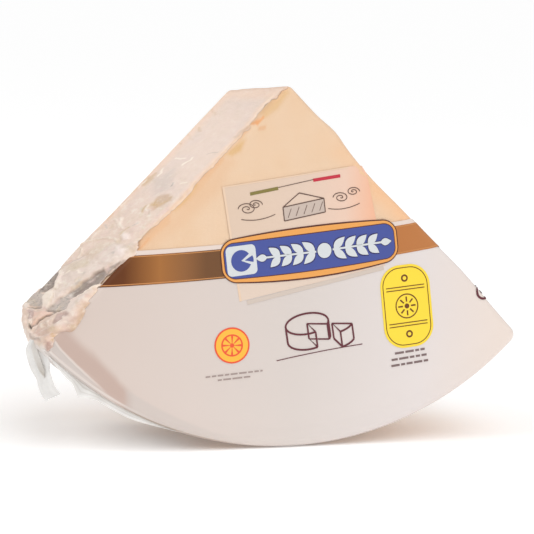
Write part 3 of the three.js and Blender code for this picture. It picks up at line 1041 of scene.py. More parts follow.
@dataclass(frozen=True)
class CardFinish:
    """The parchment-coloured ink, warmer where the cheese glows through at its right end.

    The stops start so far left of the middle, and span so much, in millimetres.
    """

    slot: str = "card_print"
    left: float = 42.0
    span: float = 94.0
    stops: tuple[tuple[float, ...], ...] = (
        (0.0, 225, 200, 178), (0.55, 228, 203, 184), (0.82, 237, 204, 184), (1.0, 243, 188, 156))
    foot: Colour = srgb(228, 208, 192)

    def build(self) -> bpy.types.Material:
        """Builds the finish.

        Returns:
            The material.
        """
        g = Graph("card_ink")
        x, _, drop = g.wheel_frame()
        colour = g.node("ShaderNodeValToRGB", {"stops": self.stops}, (x + self.left) / self.span)
        return g.printed(g.mix(drop.step(84.0, 98.0) * 0.85, colour, self.foot))


@dataclass(frozen=True)
class CopperFinish:
    """The copper-brown metallic band, with the long soft lights that bent foil shows.

    The stops start so far left of the middle, and span so much, in millimetres.
    """

    slot: str = "copper_print"
    left: float = 118.0
    span: float = 215.0
    stops: tuple[tuple[float, ...], ...] = (
        (0.0, 94, 46, 8), (0.08, 102, 52, 10), (0.18, 168, 109, 54), (0.25, 146, 97, 55),
        (0.31, 116, 77, 45), (0.38, 114, 76, 44), (0.62, 150, 100, 58), (0.86, 190, 121, 66),
        (1.0, 193, 125, 72))

    def build(self) -> bpy.types.Material:
        """Builds the finish.

        Returns:
            The material.
        """
        g = Graph("copper_ink")
        share = (g.along(1.0, 0.0, 0.0) + self.left) / self.span
        colour = g.node("ShaderNodeValToRGB", {"stops": self.stops}, share)
        return g.printed(colour, Roughness=0.42, Metallic=0.1)


@dataclass(frozen=True)
class LooseFilmFinish:
    """Film that hangs free, several layers thick: milky with a cool cast, greyer in its folds as
    painted shade and as doubled film.
    """

    slot: str = "clear_film"
    body: Colour = srgb(246, 244, 241)
    # painted shade of the folds, with the grey of doubled film
    fold: Colour = srgb(168, 156, 140)

    @cache
    def build(self) -> bpy.types.Material:
        """Builds the finish.

        Returns:
            The material.
        """
        g = Graph("loose_film")
        streak = g.noise(240.0, 3.0)
        # the grey attribute paints shade into the folds
        colour = g.mix(g.attribute("grey") * (0.6 + streak * 0.6), self.body, self.fold)
        cover = (g.attribute("milk") * (0.85 + streak * 0.3)).at_most(0.98)
        return g.surface(Base_Color=colour, Roughness=0.22, Alpha=cover, Coat_Weight=0.5,
                         Coat_Roughness=0.08, Normal=g.relief(streak, 0.0005, 0.3))


def linked(name: str, data: bpy.types.ID) -> bpy.types.Object:
    """Makes an object of a mesh, a light or a camera, and links it to the scene."""
    obj = bpy.data.objects.new(name, data)
    bpy.context.scene.collection.objects.link(obj)
    return obj


def make_piece(name: str, bm: bmesh.types.BMesh, finish: Finish, rest: float = 0.0) -> bpy.types.Object:
    """Leans a shape back with the wheel and makes it a piece of the object.

    Args:
        name: The piece's name.
        bm: Its shape, in the upright wheel frame; it is freed.
        finish: Its finish.
        rest: How high above the floor its underside is kept, in metres.

    Returns:
        The piece, riding on the root body.
    """
    bmesh.ops.transform(bm, matrix=WHEEL.matrix, verts=bm.verts)
    for vert in bm.verts:
        vert.co.z = max(rest, vert.co.z)
    for face in bm.faces:
        face.smooth = True
    for edge in bm.edges:
        edge.smooth = edge.calc_face_angle(0.0) < 1.0
    mesh = bpy.data.meshes.new(name)
    bm.to_mesh(mesh)
    bm.free()
    mesh.materials.append(finish.build())
    obj = linked(name, mesh)
    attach(obj, "root")
    log.info("piece %s: %d faces", name, len(mesh.polygons))
    return obj


def cut_off(bm: bmesh.types.BMesh, through: Sequence[float], away: Sequence[float],
            near: float = 1e-5) -> None:
    """Cuts a mesh off beyond a plane through a place, where points that are near count as on it."""
    bmesh.ops.bisect_plane(bm, geom=[*bm.verts, *bm.edges, *bm.faces], dist=near,
                           plane_co=Vector(through), plane_no=Vector(away), clear_outer=True)


# The cheese and the film over it


@dataclass(frozen=True)
class Crag:
    """A broken hollow in the left cut: its middle as (run, y), reach both ways and depth."""

    middle: Flat
    reach: Flat
    depth: float

    def depth_at(self, run: float, y: float) -> float:
        """Returns the hollow's depth at a place."""
        away = math.hypot((run - self.middle[0]) / self.reach[0], (y - self.middle[1]) / self.reach[1])
        return self.depth * (1 - smooth(away + 0.5 * (facets(run, y, 4.5, 21) - 0.5), 0.35, 1.0))


@dataclass
class CheeseWedge:
    """The cheese itself."""

    fine: Fineness = Fineness(
        left=280, corner=6, heel=90, right=70, body_step=1.8,
        cap=(0.0, 0.2, 0.4, 0.56, 0.68, 0.77, 0.83, 0.87, 0.892, 0.91, 0.925, 0.938, 0.948, 0.957,
             0.965, 0.972, 0.978, 0.984, 0.989, 0.994))
    clearance: float = 0.12
    slack: float = 0.4
    # amber and orange tints along the left front edge
    amber_tints: tuple[Patch, ...] = (
        Patch(Tone.AMBER, ((58, 1), (134, 1), (134, -7), (100, -12), (76, -14), (56, -8)), 4.5, 0.45),
        Patch(Tone.HONEY, ((2, 3), (3, -3.4), (16, -5.2), (25, -3.4), (25, 3), (14, 4)), 2.0, 0.75),
        Patch(Tone.AMBER, ((2, 0.4), (30, 1), (60, 0.2), (90, 0), (130, 0.6)), 1.2, 0.4, 0, 1.0),
        Patch(Tone.AMBER, ((60, 1), (98, 1), (99, -3.6), (90, -4.6), (74, -4.0), (62, -2.6)),
              1.4, 0.75),
        Patch(Tone.ORANGE, ((33.5, 1.2), (24.5, -0.8), (25, -3.2), (31, -3.0)), 0.6, 1),
        Patch(Tone.AMBER, ((31.5, -4.0), (27.4, -6.8), (29.6, -8.2), (33.2, -5.8)), 0.8, 1),
        Patch(Tone.AMBER, ((39, 4.2), (35, -0.6), (39, -1.4), (46, -0.4), (44, 4)), 0.9, 0.7),
        Patch(Tone.HONEY, ((57, 0), (47, -1.6), (41, -3.0), (49, -6.3), (55, -4.4)), 1.6, 0.95),
        Patch(Tone.AMBER, ((58, 1), (62, 1.6), (80, 1.4), (74, -2.6), (60, -3.2)), 1.0, 0.8),
        Patch(Tone.HONEY, ((82, -0.2), (92, -1.8), (101, -0.8)), 1.4, 0.9, 0, 1.2),
        Patch(Tone.AMBER, ((103, 0.4), (108, -4.8), (115, -4.2), (125, -3.6), (131, -3.6),
                           (134, 1), (129, 3), (112, 3)), 1.6, 0.95),
        Patch(Tone.ORANGE, ((131, -1.8), (124, -1.4)), 1.5, 0.6, 0, 0.8),
    )
    crags: tuple[Crag, ...] = (
        Crag((100, 46), (13, 14), 2.6), Crag((112, 70), (7, 8), 1.4), Crag((66, 62), (9, 7), 1.2),
        Crag((140, 55), (12, 16), 1.8), Crag((36, 40), (6, 9), 0.9))

    def stain(self, at: Place) -> tuple[Vector, float]:
        """Finds the amber and orange tints at a place.

        Args:
            at: The place.

        Returns:
            Their colour and how much of it shows.
        """
        tint, cover = Vector(Tone.AMBER.value), 0.0
        for patch in self.amber_tints:
            share = patch.share(at.run, at.across) * patch.cover * max(at.leftward, at.forward)
            if share > 0:
                cover += (1 - cover) * share
                tint = tint.lerp(Vector(patch.tone.value), share / cover)
        return tint, cover

    def hollow(self, at: Place) -> float:
        """Returns how far the broken left cut lies under the film at a place."""
        grain = 0.35 * facets(at.run, at.y, 3.2, 22) + 0.25 * facets(at.run, at.y, 7.5, 23)
        depth = sum(crag.depth_at(at.run, at.y) for crag in self.crags) + grain + self.slack
        return depth * (at.leftward * max(smooth(at.across, 2, 4), smooth(at.run, 124, 132)))

    def build(self) -> None:
        """Builds the cheese."""
        bm = Skin.dress(Skin(self.fine).build(), -self.clearance, Layer.CHEESE)
        stain, stained = bm.verts.layers.float_color.new("stain"), bm.verts.layers.float.new("stained")
        places = [Place(vert.co, vert.normal) for vert in bm.verts]
        for vert, at in zip(bm.verts, places):
            tint, vert[stained] = self.stain(at)
            vert[stain] = (*tint, 1.0)
            vert.co -= vert.normal * self.hollow(at)
        make_piece("cheese", bm, PasteFinish(), rest=0.0001)


FILM_CAP = (0.0, 0.2, 0.4, 0.56, 0.68, 0.77, 0.83, 0.87, 0.892, 0.91, 0.923, 0.934, 0.944, 0.952,
            0.96, 0.967, 0.973, 0.979, 0.984, 0.989, 0.993, 0.997)


@dataclass
class SealedFilm:
    """The clear film drawn over the whole wedge."""

    fine: Fineness = Fineness(left=420, corner=10, heel=64, right=44, body_step=1.1, cap=FILM_CAP)

    @staticmethod
    def look(at: Place) -> tuple[Vector, float, float, float]:
        """Finds what the film looks like at a place.

        Args:
            at: The place.

        Returns:
            Its colour, where it is clouded, how speckled it is and how veiled where it is clear.
        """
        cloud = smooth(facets(at.run, at.across, 14, 31), 0.3, 0.8)
        tint = Vector(Tone.LILAC.value).lerp(Vector(Tone.CREAM.value),
                                             max(cloud * 0.6, 0.8 * smooth(at.run, 84, 112)))
        tint = tint.lerp(Vector(Tone.MILK.value), at.heelward)
        cover, speck = RELIEF.covered(at), 0.0
        facing = max(at.leftward, at.forward)
        if facing > 0:
            run, across = RELIEF.frayed(at.run, at.across)
            for patch in RELIEF.patches:
                share = patch.share(run, across) * patch.cover
                if share > 0:
                    tint = tint.lerp(Vector(patch.tone.value), share)
                    speck += (patch.speck - speck) * share
                    cover += (1 - cover) * share * facing
        veil = 0.92 * at.heelward * smooth(-at.angle, 10, 24) * (1 - 0.5 * smooth(at.y, 30, 60))
        return tint, cover, speck, veil + 0.10 * at.heelward + 0.12 * at.rightward

    def build(self) -> None:
        """Builds the film, which stands for the sealed pack's solid."""
        bm = Skin(self.fine).build()
        tint = bm.verts.layers.float_color.new("tint")
        keys = [bm.verts.layers.float.new(key) for key in ("cover", "speck", "veil")]
        for vert in bm.verts:
            colour, *rest = self.look(Place(vert.co, vert.normal))
            vert[tint] = (*colour, 1.0)
            for key, value in zip(keys, rest):
                vert[key] = value
        Skin.dress(bm, 0.0, Layer.FILM)
        obj = make_piece("clear_film", bm, FilmFinish())
        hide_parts("sealed_pack")


# The printed front


def ellipse(middle: Flat, radii: Flat, start: float = 0.0, end: float = 360.0) -> Outline:
    """Makes an elliptical outline.

    Args:
        middle: Its middle.
        radii: Its two radii.
        start: Where it starts, in degrees.
        end: Where it ends.

    Returns:
        The outline, a place for every share from 0 to 1.
    """
    def place(share: float) -> Flat:
        """Returns the outline's place at a share."""
        angle = math.radians(start + (end - start) * share)
        return moved(middle, radii[0] * math.cos(angle), radii[1] * math.sin(angle))

    return place


def plate(half: Flat, corner: float, middle: Flat = (0.0, 0.0)) -> Outline:
    """Makes a rounded rectangle.

    Args:
        half: Half its width and half its height.
        corner: Its corners' radius.
        middle: Its middle.

    Returns:
        The outline, a place for every share from 0 to 1.
    """
    signs = ((1, 1), (-1, 1), (-1, -1), (1, -1))
    centres = [(x * (half[0] - corner), y * (half[1] - corner)) for x, y in signs]

    def place(share: float) -> Flat:
        """Finds the outline's place.

        Args:
            share: How far along it, 0 to 1. Of each quarter, 0.7 is the round.

        Returns:
            The place.
        """
        quarter = min(3, int(share * 4))
        within = share * 4 - quarter
        turn = math.radians(90 * (quarter + clamp(within / 0.7)))
        at = between(centres[quarter], centres[(quarter + 1) % 4], clamp((within - 0.7) / 0.3))
        return moved(middle, at[0] + corner * math.cos(turn), at[1] + corner * math.sin(turn))

    return place


def line(first: Flat, last: Flat, bow: float = 0.0) -> Outline:
    """Returns a line between two places, bowed upwards by so much in its middle."""
    return lambda share: moved(between(first, last, share), 0.0, -bow * 4 * share * (1 - share))


class Sheet:
    """A flat drawing in one ink, as (x, drop) in millimetres, laid on the front of the film.

    It ends along a line through "left_end", just short of the left front edge, and along one
    through "right_end", on the right cut. Its parts take turns at a few levels, so that parts drawn
    one after the other don't lie in one plane.
    """

    left_end: Flat = (0.6, 0.6)
    right_end: Flat = (45.6, 0.0)
    thick: float = 0.05
    levels: int = 5
    level_step: float = 0.008

    def __init__(self, middle: Flat = (0.0, 0.0), tilt: float = 0.0) -> None:
        """Starts a drawing whose own middle is at a place, rising to the right by degrees."""
        self.bm, self.count = bmesh.new(), 0
        self.matrix = Matrix.Translation((*middle, 0.0)) @ Matrix.Rotation(math.radians(-tilt), 4, "Z")

    def fill(self, first: Outline, last: Outline, steps: int = 1, rows: int = 1) -> "Sheet":
        """Fills the area between two outlines.

        Args:
            first: The first outline.
            last: The second.
            steps: How many parts along them.
            rows: How many parts from one to the other.

        Returns:
            The drawing.
        """
        self.count += 1
        made = bmesh.ops.create_grid(self.bm, x_segments=steps, y_segments=rows, size=1.0)
        for vert in made["verts"]:
            along, across = (vert.co.x + 1) / 2, (vert.co.y + 1) / 2
            near, far = Vector(first(along)), Vector(last(along))
            vert.co = self.matrix @ near.lerp(far, across).to_3d()
            vert.co.z = self.count % self.levels * self.level_step
        return self

    def disc(self, middle: Flat, radii: Flat, inner: Flat = (0.0, 0.0), start: float = 0.0,
             end: float = 360.0, steps: int = 48) -> "Sheet":
        """Fills an ellipse, ring or sector, from start to end in degrees."""
        return self.fill(ellipse(middle, radii, start, end), ellipse(middle, inner, start, end), steps)

    def board(self, half: Flat, corner: float, border: float = 0.0,
              middle: Flat = (0.0, 0.0)) -> "Sheet":
        """Fills a rounded rectangle, or only its border if the border's width is given."""
        hole = plate((half[0] - border, half[1] - border), corner - border, middle) if border else (
            lambda share: middle)
        return self.fill(plate(half, corner, middle), hole, 64)

    def stroke(self, width: float, *path: Flat) -> "Sheet":
        """Draws a line of some width through places.

        Args:
            width: The line's width.
            path: The places.

        Returns:
            The drawing.
        """
        places, last = [Vector(p) for p in path], len(path) - 1

        def side(share: float, sign: int) -> Flat:
            """Returns the place of one side of the line at a share."""
            i = round(share * last)
            way = (places[min(i + 1, last)] - places[max(i - 1, 0)]).normalized()
            return tuple(places[i] + Vector((way.y, -way.x)) * (sign * width / 2))

        return self.fill(lambda share: side(share, 1), lambda share: side(share, -1), last)

    def trace(self, outline: Outline, width: float, steps: int = 24) -> "Sheet":
        """Draws a line of some width along an outline."""
        return self.stroke(width, *(outline(i / steps) for i in range(steps + 1)))

    @staticmethod
    def place(x: float, drop: float, lift: float) -> Vector:
        """Finds a drawn place on the film: the flat front, or round an edge.

        Args:
            x: To the right, in millimetres.
            drop: Down from the apex.
            lift: How far to stand off.

        Returns:
            The place in the upright wheel frame.
        """
        rounding = WHEEL.edge_round
        side = 1 if x > 0 else -1
        offset, run = (side * x - drop) / ROOT2, (side * x + drop) / ROOT2
        excess = offset + rounding
        turn = clamp(excess / rounding, 0.0, math.pi / 2)
        beyond = max(0.0, excess - rounding * math.pi / 2)
        flat = offset if excess <= 0 else rounding * (math.sin(turn) - 1)
        y = rounding * (1 - math.cos(turn)) + beyond
        normal = Vector((side * math.sin(turn) / ROOT2, -math.cos(turn), math.sin(turn) / ROOT2))
        point = WHEEL.upright(side * (run + flat) / ROOT2, y, (run - flat) / ROOT2)
        lift += 0.3 * clamp(excess / rounding) * (side > 0)
        return RELIEF.dress(point, normal, lift, Layer.PRINT)

    def lay(self, name: str, ink: Finish, lift: float) -> None:
        """Gives the drawing its thickness, lays it on the film and makes it a piece.

        Args:
            name: The piece's name.
            ink: Its ink.
            lift: How far its underside stands off.
        """
        bm = self.bm
        cut_off(bm, (*self.left_end, 0.0), Vector((-1.0, -1.0, 0.0)).normalized())
        cut_off(bm, (*self.right_end, 0.0), Vector((1.0, -1.0, 0.0)).normalized())
        bmesh.ops.remove_doubles(bm, verts=bm.verts, dist=1e-3)
        grown = bmesh.ops.extrude_face_region(bm, geom=bm.faces[:], use_keep_orig=True)
        top = {v for v in grown["geom"] if isinstance(v, bmesh.types.BMVert)}
        for vert in bm.verts:
            raised = lift + vert.co.z + (self.thick if vert in top else 0.0)
            vert.co = self.place(vert.co.x, vert.co.y, raised)
        bmesh.ops.recalc_face_normals(bm, faces=bm.faces)
        make_piece(name, bm, ink)


@dataclass
class WhiteField:
    """The opaque white part of the film, from the band down, round the rim and the right edge.

    Its ends are planes, each through one of its places, as (x, y, drop).
    """

    fine: Fineness = Fineness(left=100, corner=8, heel=96, right=60, body_step=2.2, cap=FILM_CAP)
    lift: float = 0.14
    heel_wrap: float = 6.0
    side_wrap: float = 34.0
    under_band: tuple[float, float, float] = (-20.0, 0.0, 103.5)
    left_edge: tuple[float, float, float] = (-118.5, 0.4, 118.5)
    side_edge: tuple[float, float, float] = (89.0, 0.0, 89.0)
    side_foot: tuple[float, float, float] = (140.0, 0.0, 148.0)

    def build(self) -> None:
        """Builds the field on the front and its turn onto the right cut face."""
        front = Skin(self.fine).build()
        side = front.copy()
        ink = WhiteInkFinish()
        for name, bm, cuts in (
                ("white_field", front, ((self.under_band, (-0.1, 0, -1)),
                                        ((0.0, self.heel_wrap, 0.0), (0, 1, 0)),
                                        (self.left_edge, (-0.707, 1, -0.707)))),
                ("white_field_side", side, (((0.0, self.heel_wrap, 0.0), (0, -1, 0)),
                                            ((0.0, self.side_wrap, 0.0), (0, 1, 0)),
                                            (self.side_edge, (-0.707, 0.71, -0.707)),
                                            (self.side_foot, (-1, 0, 1))))):
            for through, (x, y, drop) in cuts:
                cut_off(bm, WHEEL.upright(*through), (x, y, -drop), 1e-4)
            make_piece(name, Skin.dress(bm, self.lift, Layer.PRINT), ink)


@dataclass
class CopperBand:
    """The copper-brown band across the front, with its fine gold lines and white margin."""

    start: float = -119.0
    end: float = 134.0
    drop: float = 91.49
    rise: float = 0.1051
    bow: float = 0.00033
    margin: InkFinish = InkFinish("band_margin_ink", "white_print", srgb(231, 214, 204))
    gold: InkFinish = InkFinish("band_line_ink", "copper_print", srgb(206, 142, 86))

    def edge(self, below: float) -> Outline:
        """Makes a line along the band.

        Args:
            below: How far it lies below the band's top edge.

        Returns:
            The line.
        """
        def place(share: float) -> Flat:
            """Returns the line's place at a share."""
            x = self.start + (self.end - self.start) * share
            return x, self.drop - self.rise * x - self.bow * x * x + below

        return place

    def build(self) -> None:
        """Builds the band and its lines."""
        for name, ink, top, bottom, lift in (
                ("band_margin", self.margin, -2.6, 0.0, 0.2),
                ("band", CopperFinish(), 0.0, 17.0, 0.26),
                ("band_line_top", self.gold, 0.5, 0.95, 0.34),
                ("band_line_bottom", self.gold, 15.9, 16.4, 0.34)):
            rows = max(1, round(bottom - top))
            Sheet().fill(self.edge(top), self.edge(bottom), 160, rows).lay(name, ink, lift)


@dataclass
class BlueLabel:
    """The blue banner with its gold and brown rims, a wheel on a pale square and a leaf garland."""

    middle: Flat = (12.9, 96.9)
    tilt: float = 6.4
    half: Flat = (53.4, 10.6)
    corner: float = 6.2
    bend: float = 0.8
    seed: Flat = (8.6, 0.9)
    blue: InkFinish = InkFinish("blue_ink", "blue_print", srgb(73, 86, 157))
    deep: InkFinish = InkFinish("deep_blue_ink", "blue_print", srgb(54, 50, 100))
    brown: InkFinish = InkFinish("brown_ink", "blue_print", srgb(92, 48, 38))
    gold: InkFinish = InkFinish("gold_ink", "blue_print", srgb(238, 166, 88))
    pale: InkFinish = InkFinish("pale_ink", "blue_print", srgb(216, 220, 222))

    def sheet(self) -> Sheet:
        """Starts a drawing on the label."""
        return Sheet(self.middle, self.tilt)

    def banner(self, grow: float, thick: float = 0.0) -> Sheet:
        """Draws the banner, which bows down in the middle.

        Args:
            grow: How far it is grown all round.
            thick: How much more it is grown in the middle.

        Returns:
            The drawing.
        """
        flat = plate((self.half[0] + grow, self.half[1] + grow), self.corner + grow)

        def arch(x: float) -> float:
            """Returns 1 in the banner's middle, falling to 0 at its ends."""
            return 1 - (x / self.half[0]) ** 2

        def rim(share: float) -> Flat:
            """Returns the rim's place at a share."""
            x, y = flat(share)
            swell = 0.94 + 0.06 * arch(x) + thick * arch(x) / self.half[1]
            return x, y * swell + self.bend * arch(x)

        def spine(share: float) -> Flat:
            """Returns the place on the banner's middle line that faces the rim's."""
            x = flat(share)[0] * 0.86
            return x, self.bend * arch(x)

        return self.sheet().fill(rim, spine, 120)

    @staticmethod
    def leaf(sheet: Sheet, root: Flat, turn: float, length: float, width: float) -> None:
        """Draws a pointed leaf.

        Args:
            sheet: The drawing.
            root: Where it grows from.
            turn: Which way it points, in degrees from right.
            length: Its length.
            width: Its width.
        """
        way = Vector((math.cos(math.radians(turn)), math.sin(math.radians(turn))))

        def edge(share: float, sign: int) -> Flat:
            """Returns the place of one of the leaf's edges at a share."""
            out = sign * width / 2 * math.sin(math.pi * share ** 0.8)
            return tuple(Vector(root) + way * (length * share) + Vector((-way.y, way.x)) * out)

        sheet.fill(lambda share: edge(share, 1), lambda share: edge(share, -1), 12)

    def garland(self, grow: float = 0.0) -> Sheet:
        """Draws two leafy branches that meet at a round seed.

        Args:
            grow: How far it is grown all round.

        Returns:
            The drawing.
        """
        x, y = self.seed
        sheet = self.sheet().disc(self.seed, (4.4 + grow, 4.4 + grow), steps=32)
        for side, back in ((-1, 180), (1, 0)):
            sheet.stroke(1.1 + 2 * grow, (x + side * 5.2, y), (x + side * 36.4, y - 0.4))
            for index in range(4):
                root = x + side * (6.0 + index * 7.3)
                for up in (-1, 1):
                    self.leaf(sheet, (root - side * grow, y - 0.1 + up * 0.5), back + side * up * 38,
                              9.6 - 0.4 * index + 2 * grow, 4.6 + 2 * grow)
            self.leaf(sheet, (x + side * (36.0 - grow), y - 0.4), back, 7.0 + 2 * grow, 4.2 + 2 * grow)
        return sheet

    def build(self) -> None:
        """Builds the label's layers."""
        self.banner(2.4, 1.9).lay("label_rim_brown", self.brown, 0.42)
        self.banner(1.75, 1.75).lay("label_rim_gold", self.gold, 0.5)
        self.banner(0.5).lay("label_edge", self.brown, 0.58)
        self.banner(0.0).lay("label_field", self.blue, 0.64)
        self.garland(0.45).lay("label_garland_shade", self.deep, 0.7)
        self.sheet().board((9.2, 8.6), 2.8, middle=(-43.2, 0.3)).lay("label_square", self.pale, 0.76)
        wheel = self.sheet().disc((-43.4, 0.5), (6.2, 6.2), start=25, end=325)
        wheel.disc((-41.2, 0.5), (5.4, 5.4), start=-26, end=16, steps=12)
        wheel.lay("label_wheel", self.blue, 0.84)
        self.garland().lay("label_garland", self.pale, 0.8)


def card_ink(name: str, *shown: float) -> InkFinish:
    """Returns an ink of the card, given by its display colour."""
    return InkFinish(name, "card_print", srgb(*shown))


@dataclass
class Card:
    """The parchment card behind the label, with its bars and a plain line drawing."""

    corners: tuple[Flat, ...] = ((-41.7, 59.8), (47.4, 46.5), (-31.0, 125.6), (60.6, 106.4))
    drawing: tuple[Flat, float] = ((9.0, 73.0), 7.0)
    slice_front: tuple[Flat, ...] = ((-13.0, -3.0), (13.0, -5.0), (-13.0, 5.0), (13.0, 3.0))
    slice_back: Flat = (-2.0, -10.0)

    @staticmethod
    def scroll(sheet: Sheet, root: Flat, size: float, flip: int) -> None:
        """Draws a scroll that winds in.

        Args:
            sheet: The drawing.
            root: Where it starts.
            size: How large it is.
            flip: 1 to wind to the right, -1 to the left.
        """
        path = []
        for share in (step / 40 for step in range(41)):
            turn, reach = share * 3.6 * math.pi, size * (1 - share) ** 0.8
            path.append(moved(root, flip * (size - reach * math.cos(turn)),
                              -0.62 * reach * math.sin(turn)))
        sheet.stroke(0.5, *path)

    def build(self) -> None:
        """Builds the card."""
        first, second, third, fourth = self.corners
        card = Sheet().fill(line(first, second), line(third, fourth), 12, 12)
        card.lay("card", CardFinish(), 0.16)
        edge = Sheet().fill(line(first, third), line(moved(first, 1.3, 0), moved(third, 1.3, 0)), 12)
        edge.fill(line(first, second), line(moved(first, 0, 0.7), moved(second, 0, 0.7)), 8)
        edge.lay("card_edge", card_ink("card_edge_ink", 236, 207, 180), 0.24)
        for name, shown, path, width in (
                ("bar_olive", (136, 124, 68), ((-24.6, 63.9), (-7.3, 60.6)), 1.9),
                ("bar_red", (200, 52, 70), ((14.6, 56.0), (31.6, 53.4)), 1.9),
                ("card_foot", (212, 197, 185), ((-26.3, 126.4), (59.5, 107.4)), 2.4)):
            Sheet().stroke(width, *path).lay(name, card_ink(f"{name}_ink", *shown), 0.28)
        self.build_drawing()

    def build_drawing(self) -> None:
        """Builds the drawing of a wedge, and the scrolls round it."""
        a, b, c, d = self.slice_front
        shade = Sheet(*self.drawing).fill(line(a, b), line(c, d), 1)
        shade.lay("card_drawing_shade", card_ink("drawing_shade_ink", 204, 186, 174), 0.24)
        ink = card_ink("drawing_ink", 104, 80, 70)
        wedge = Sheet(*self.drawing)
        for side in ((a, b), (c, d), (a, c), (b, d), (a, self.slice_back), (self.slice_back, b)):
            wedge.stroke(0.6, *side)
        for k in range(5):
            wedge.stroke(0.35, (-10.5 + 5 * k, 3.4 - 0.4 * k), (-8.0 + 5 * k, -1.6 - 0.4 * k))
        wedge.lay("card_drawing", ink, 0.32)
        lines = Sheet().stroke(0.4, (-7.3, 60.2), (14.6, 55.6))
        for root, size, flip in (((-32.0, 72.5), 5.6, 1), ((-17.0, 70.0), 4.4, -1),
                                 ((27.0, 66.0), 5.0, 1), ((44.0, 62.5), 4.2, -1)):
            self.scroll(lines, root, size, flip)
        lines.trace(line((-30.0, 78.5), (-9.0, 75.6), -1.6), 0.45)
        lines.trace(line((24.0, 72.4), (44.0, 69.4), -1.6), 0.45).lay("card_lines", ink, 0.32)


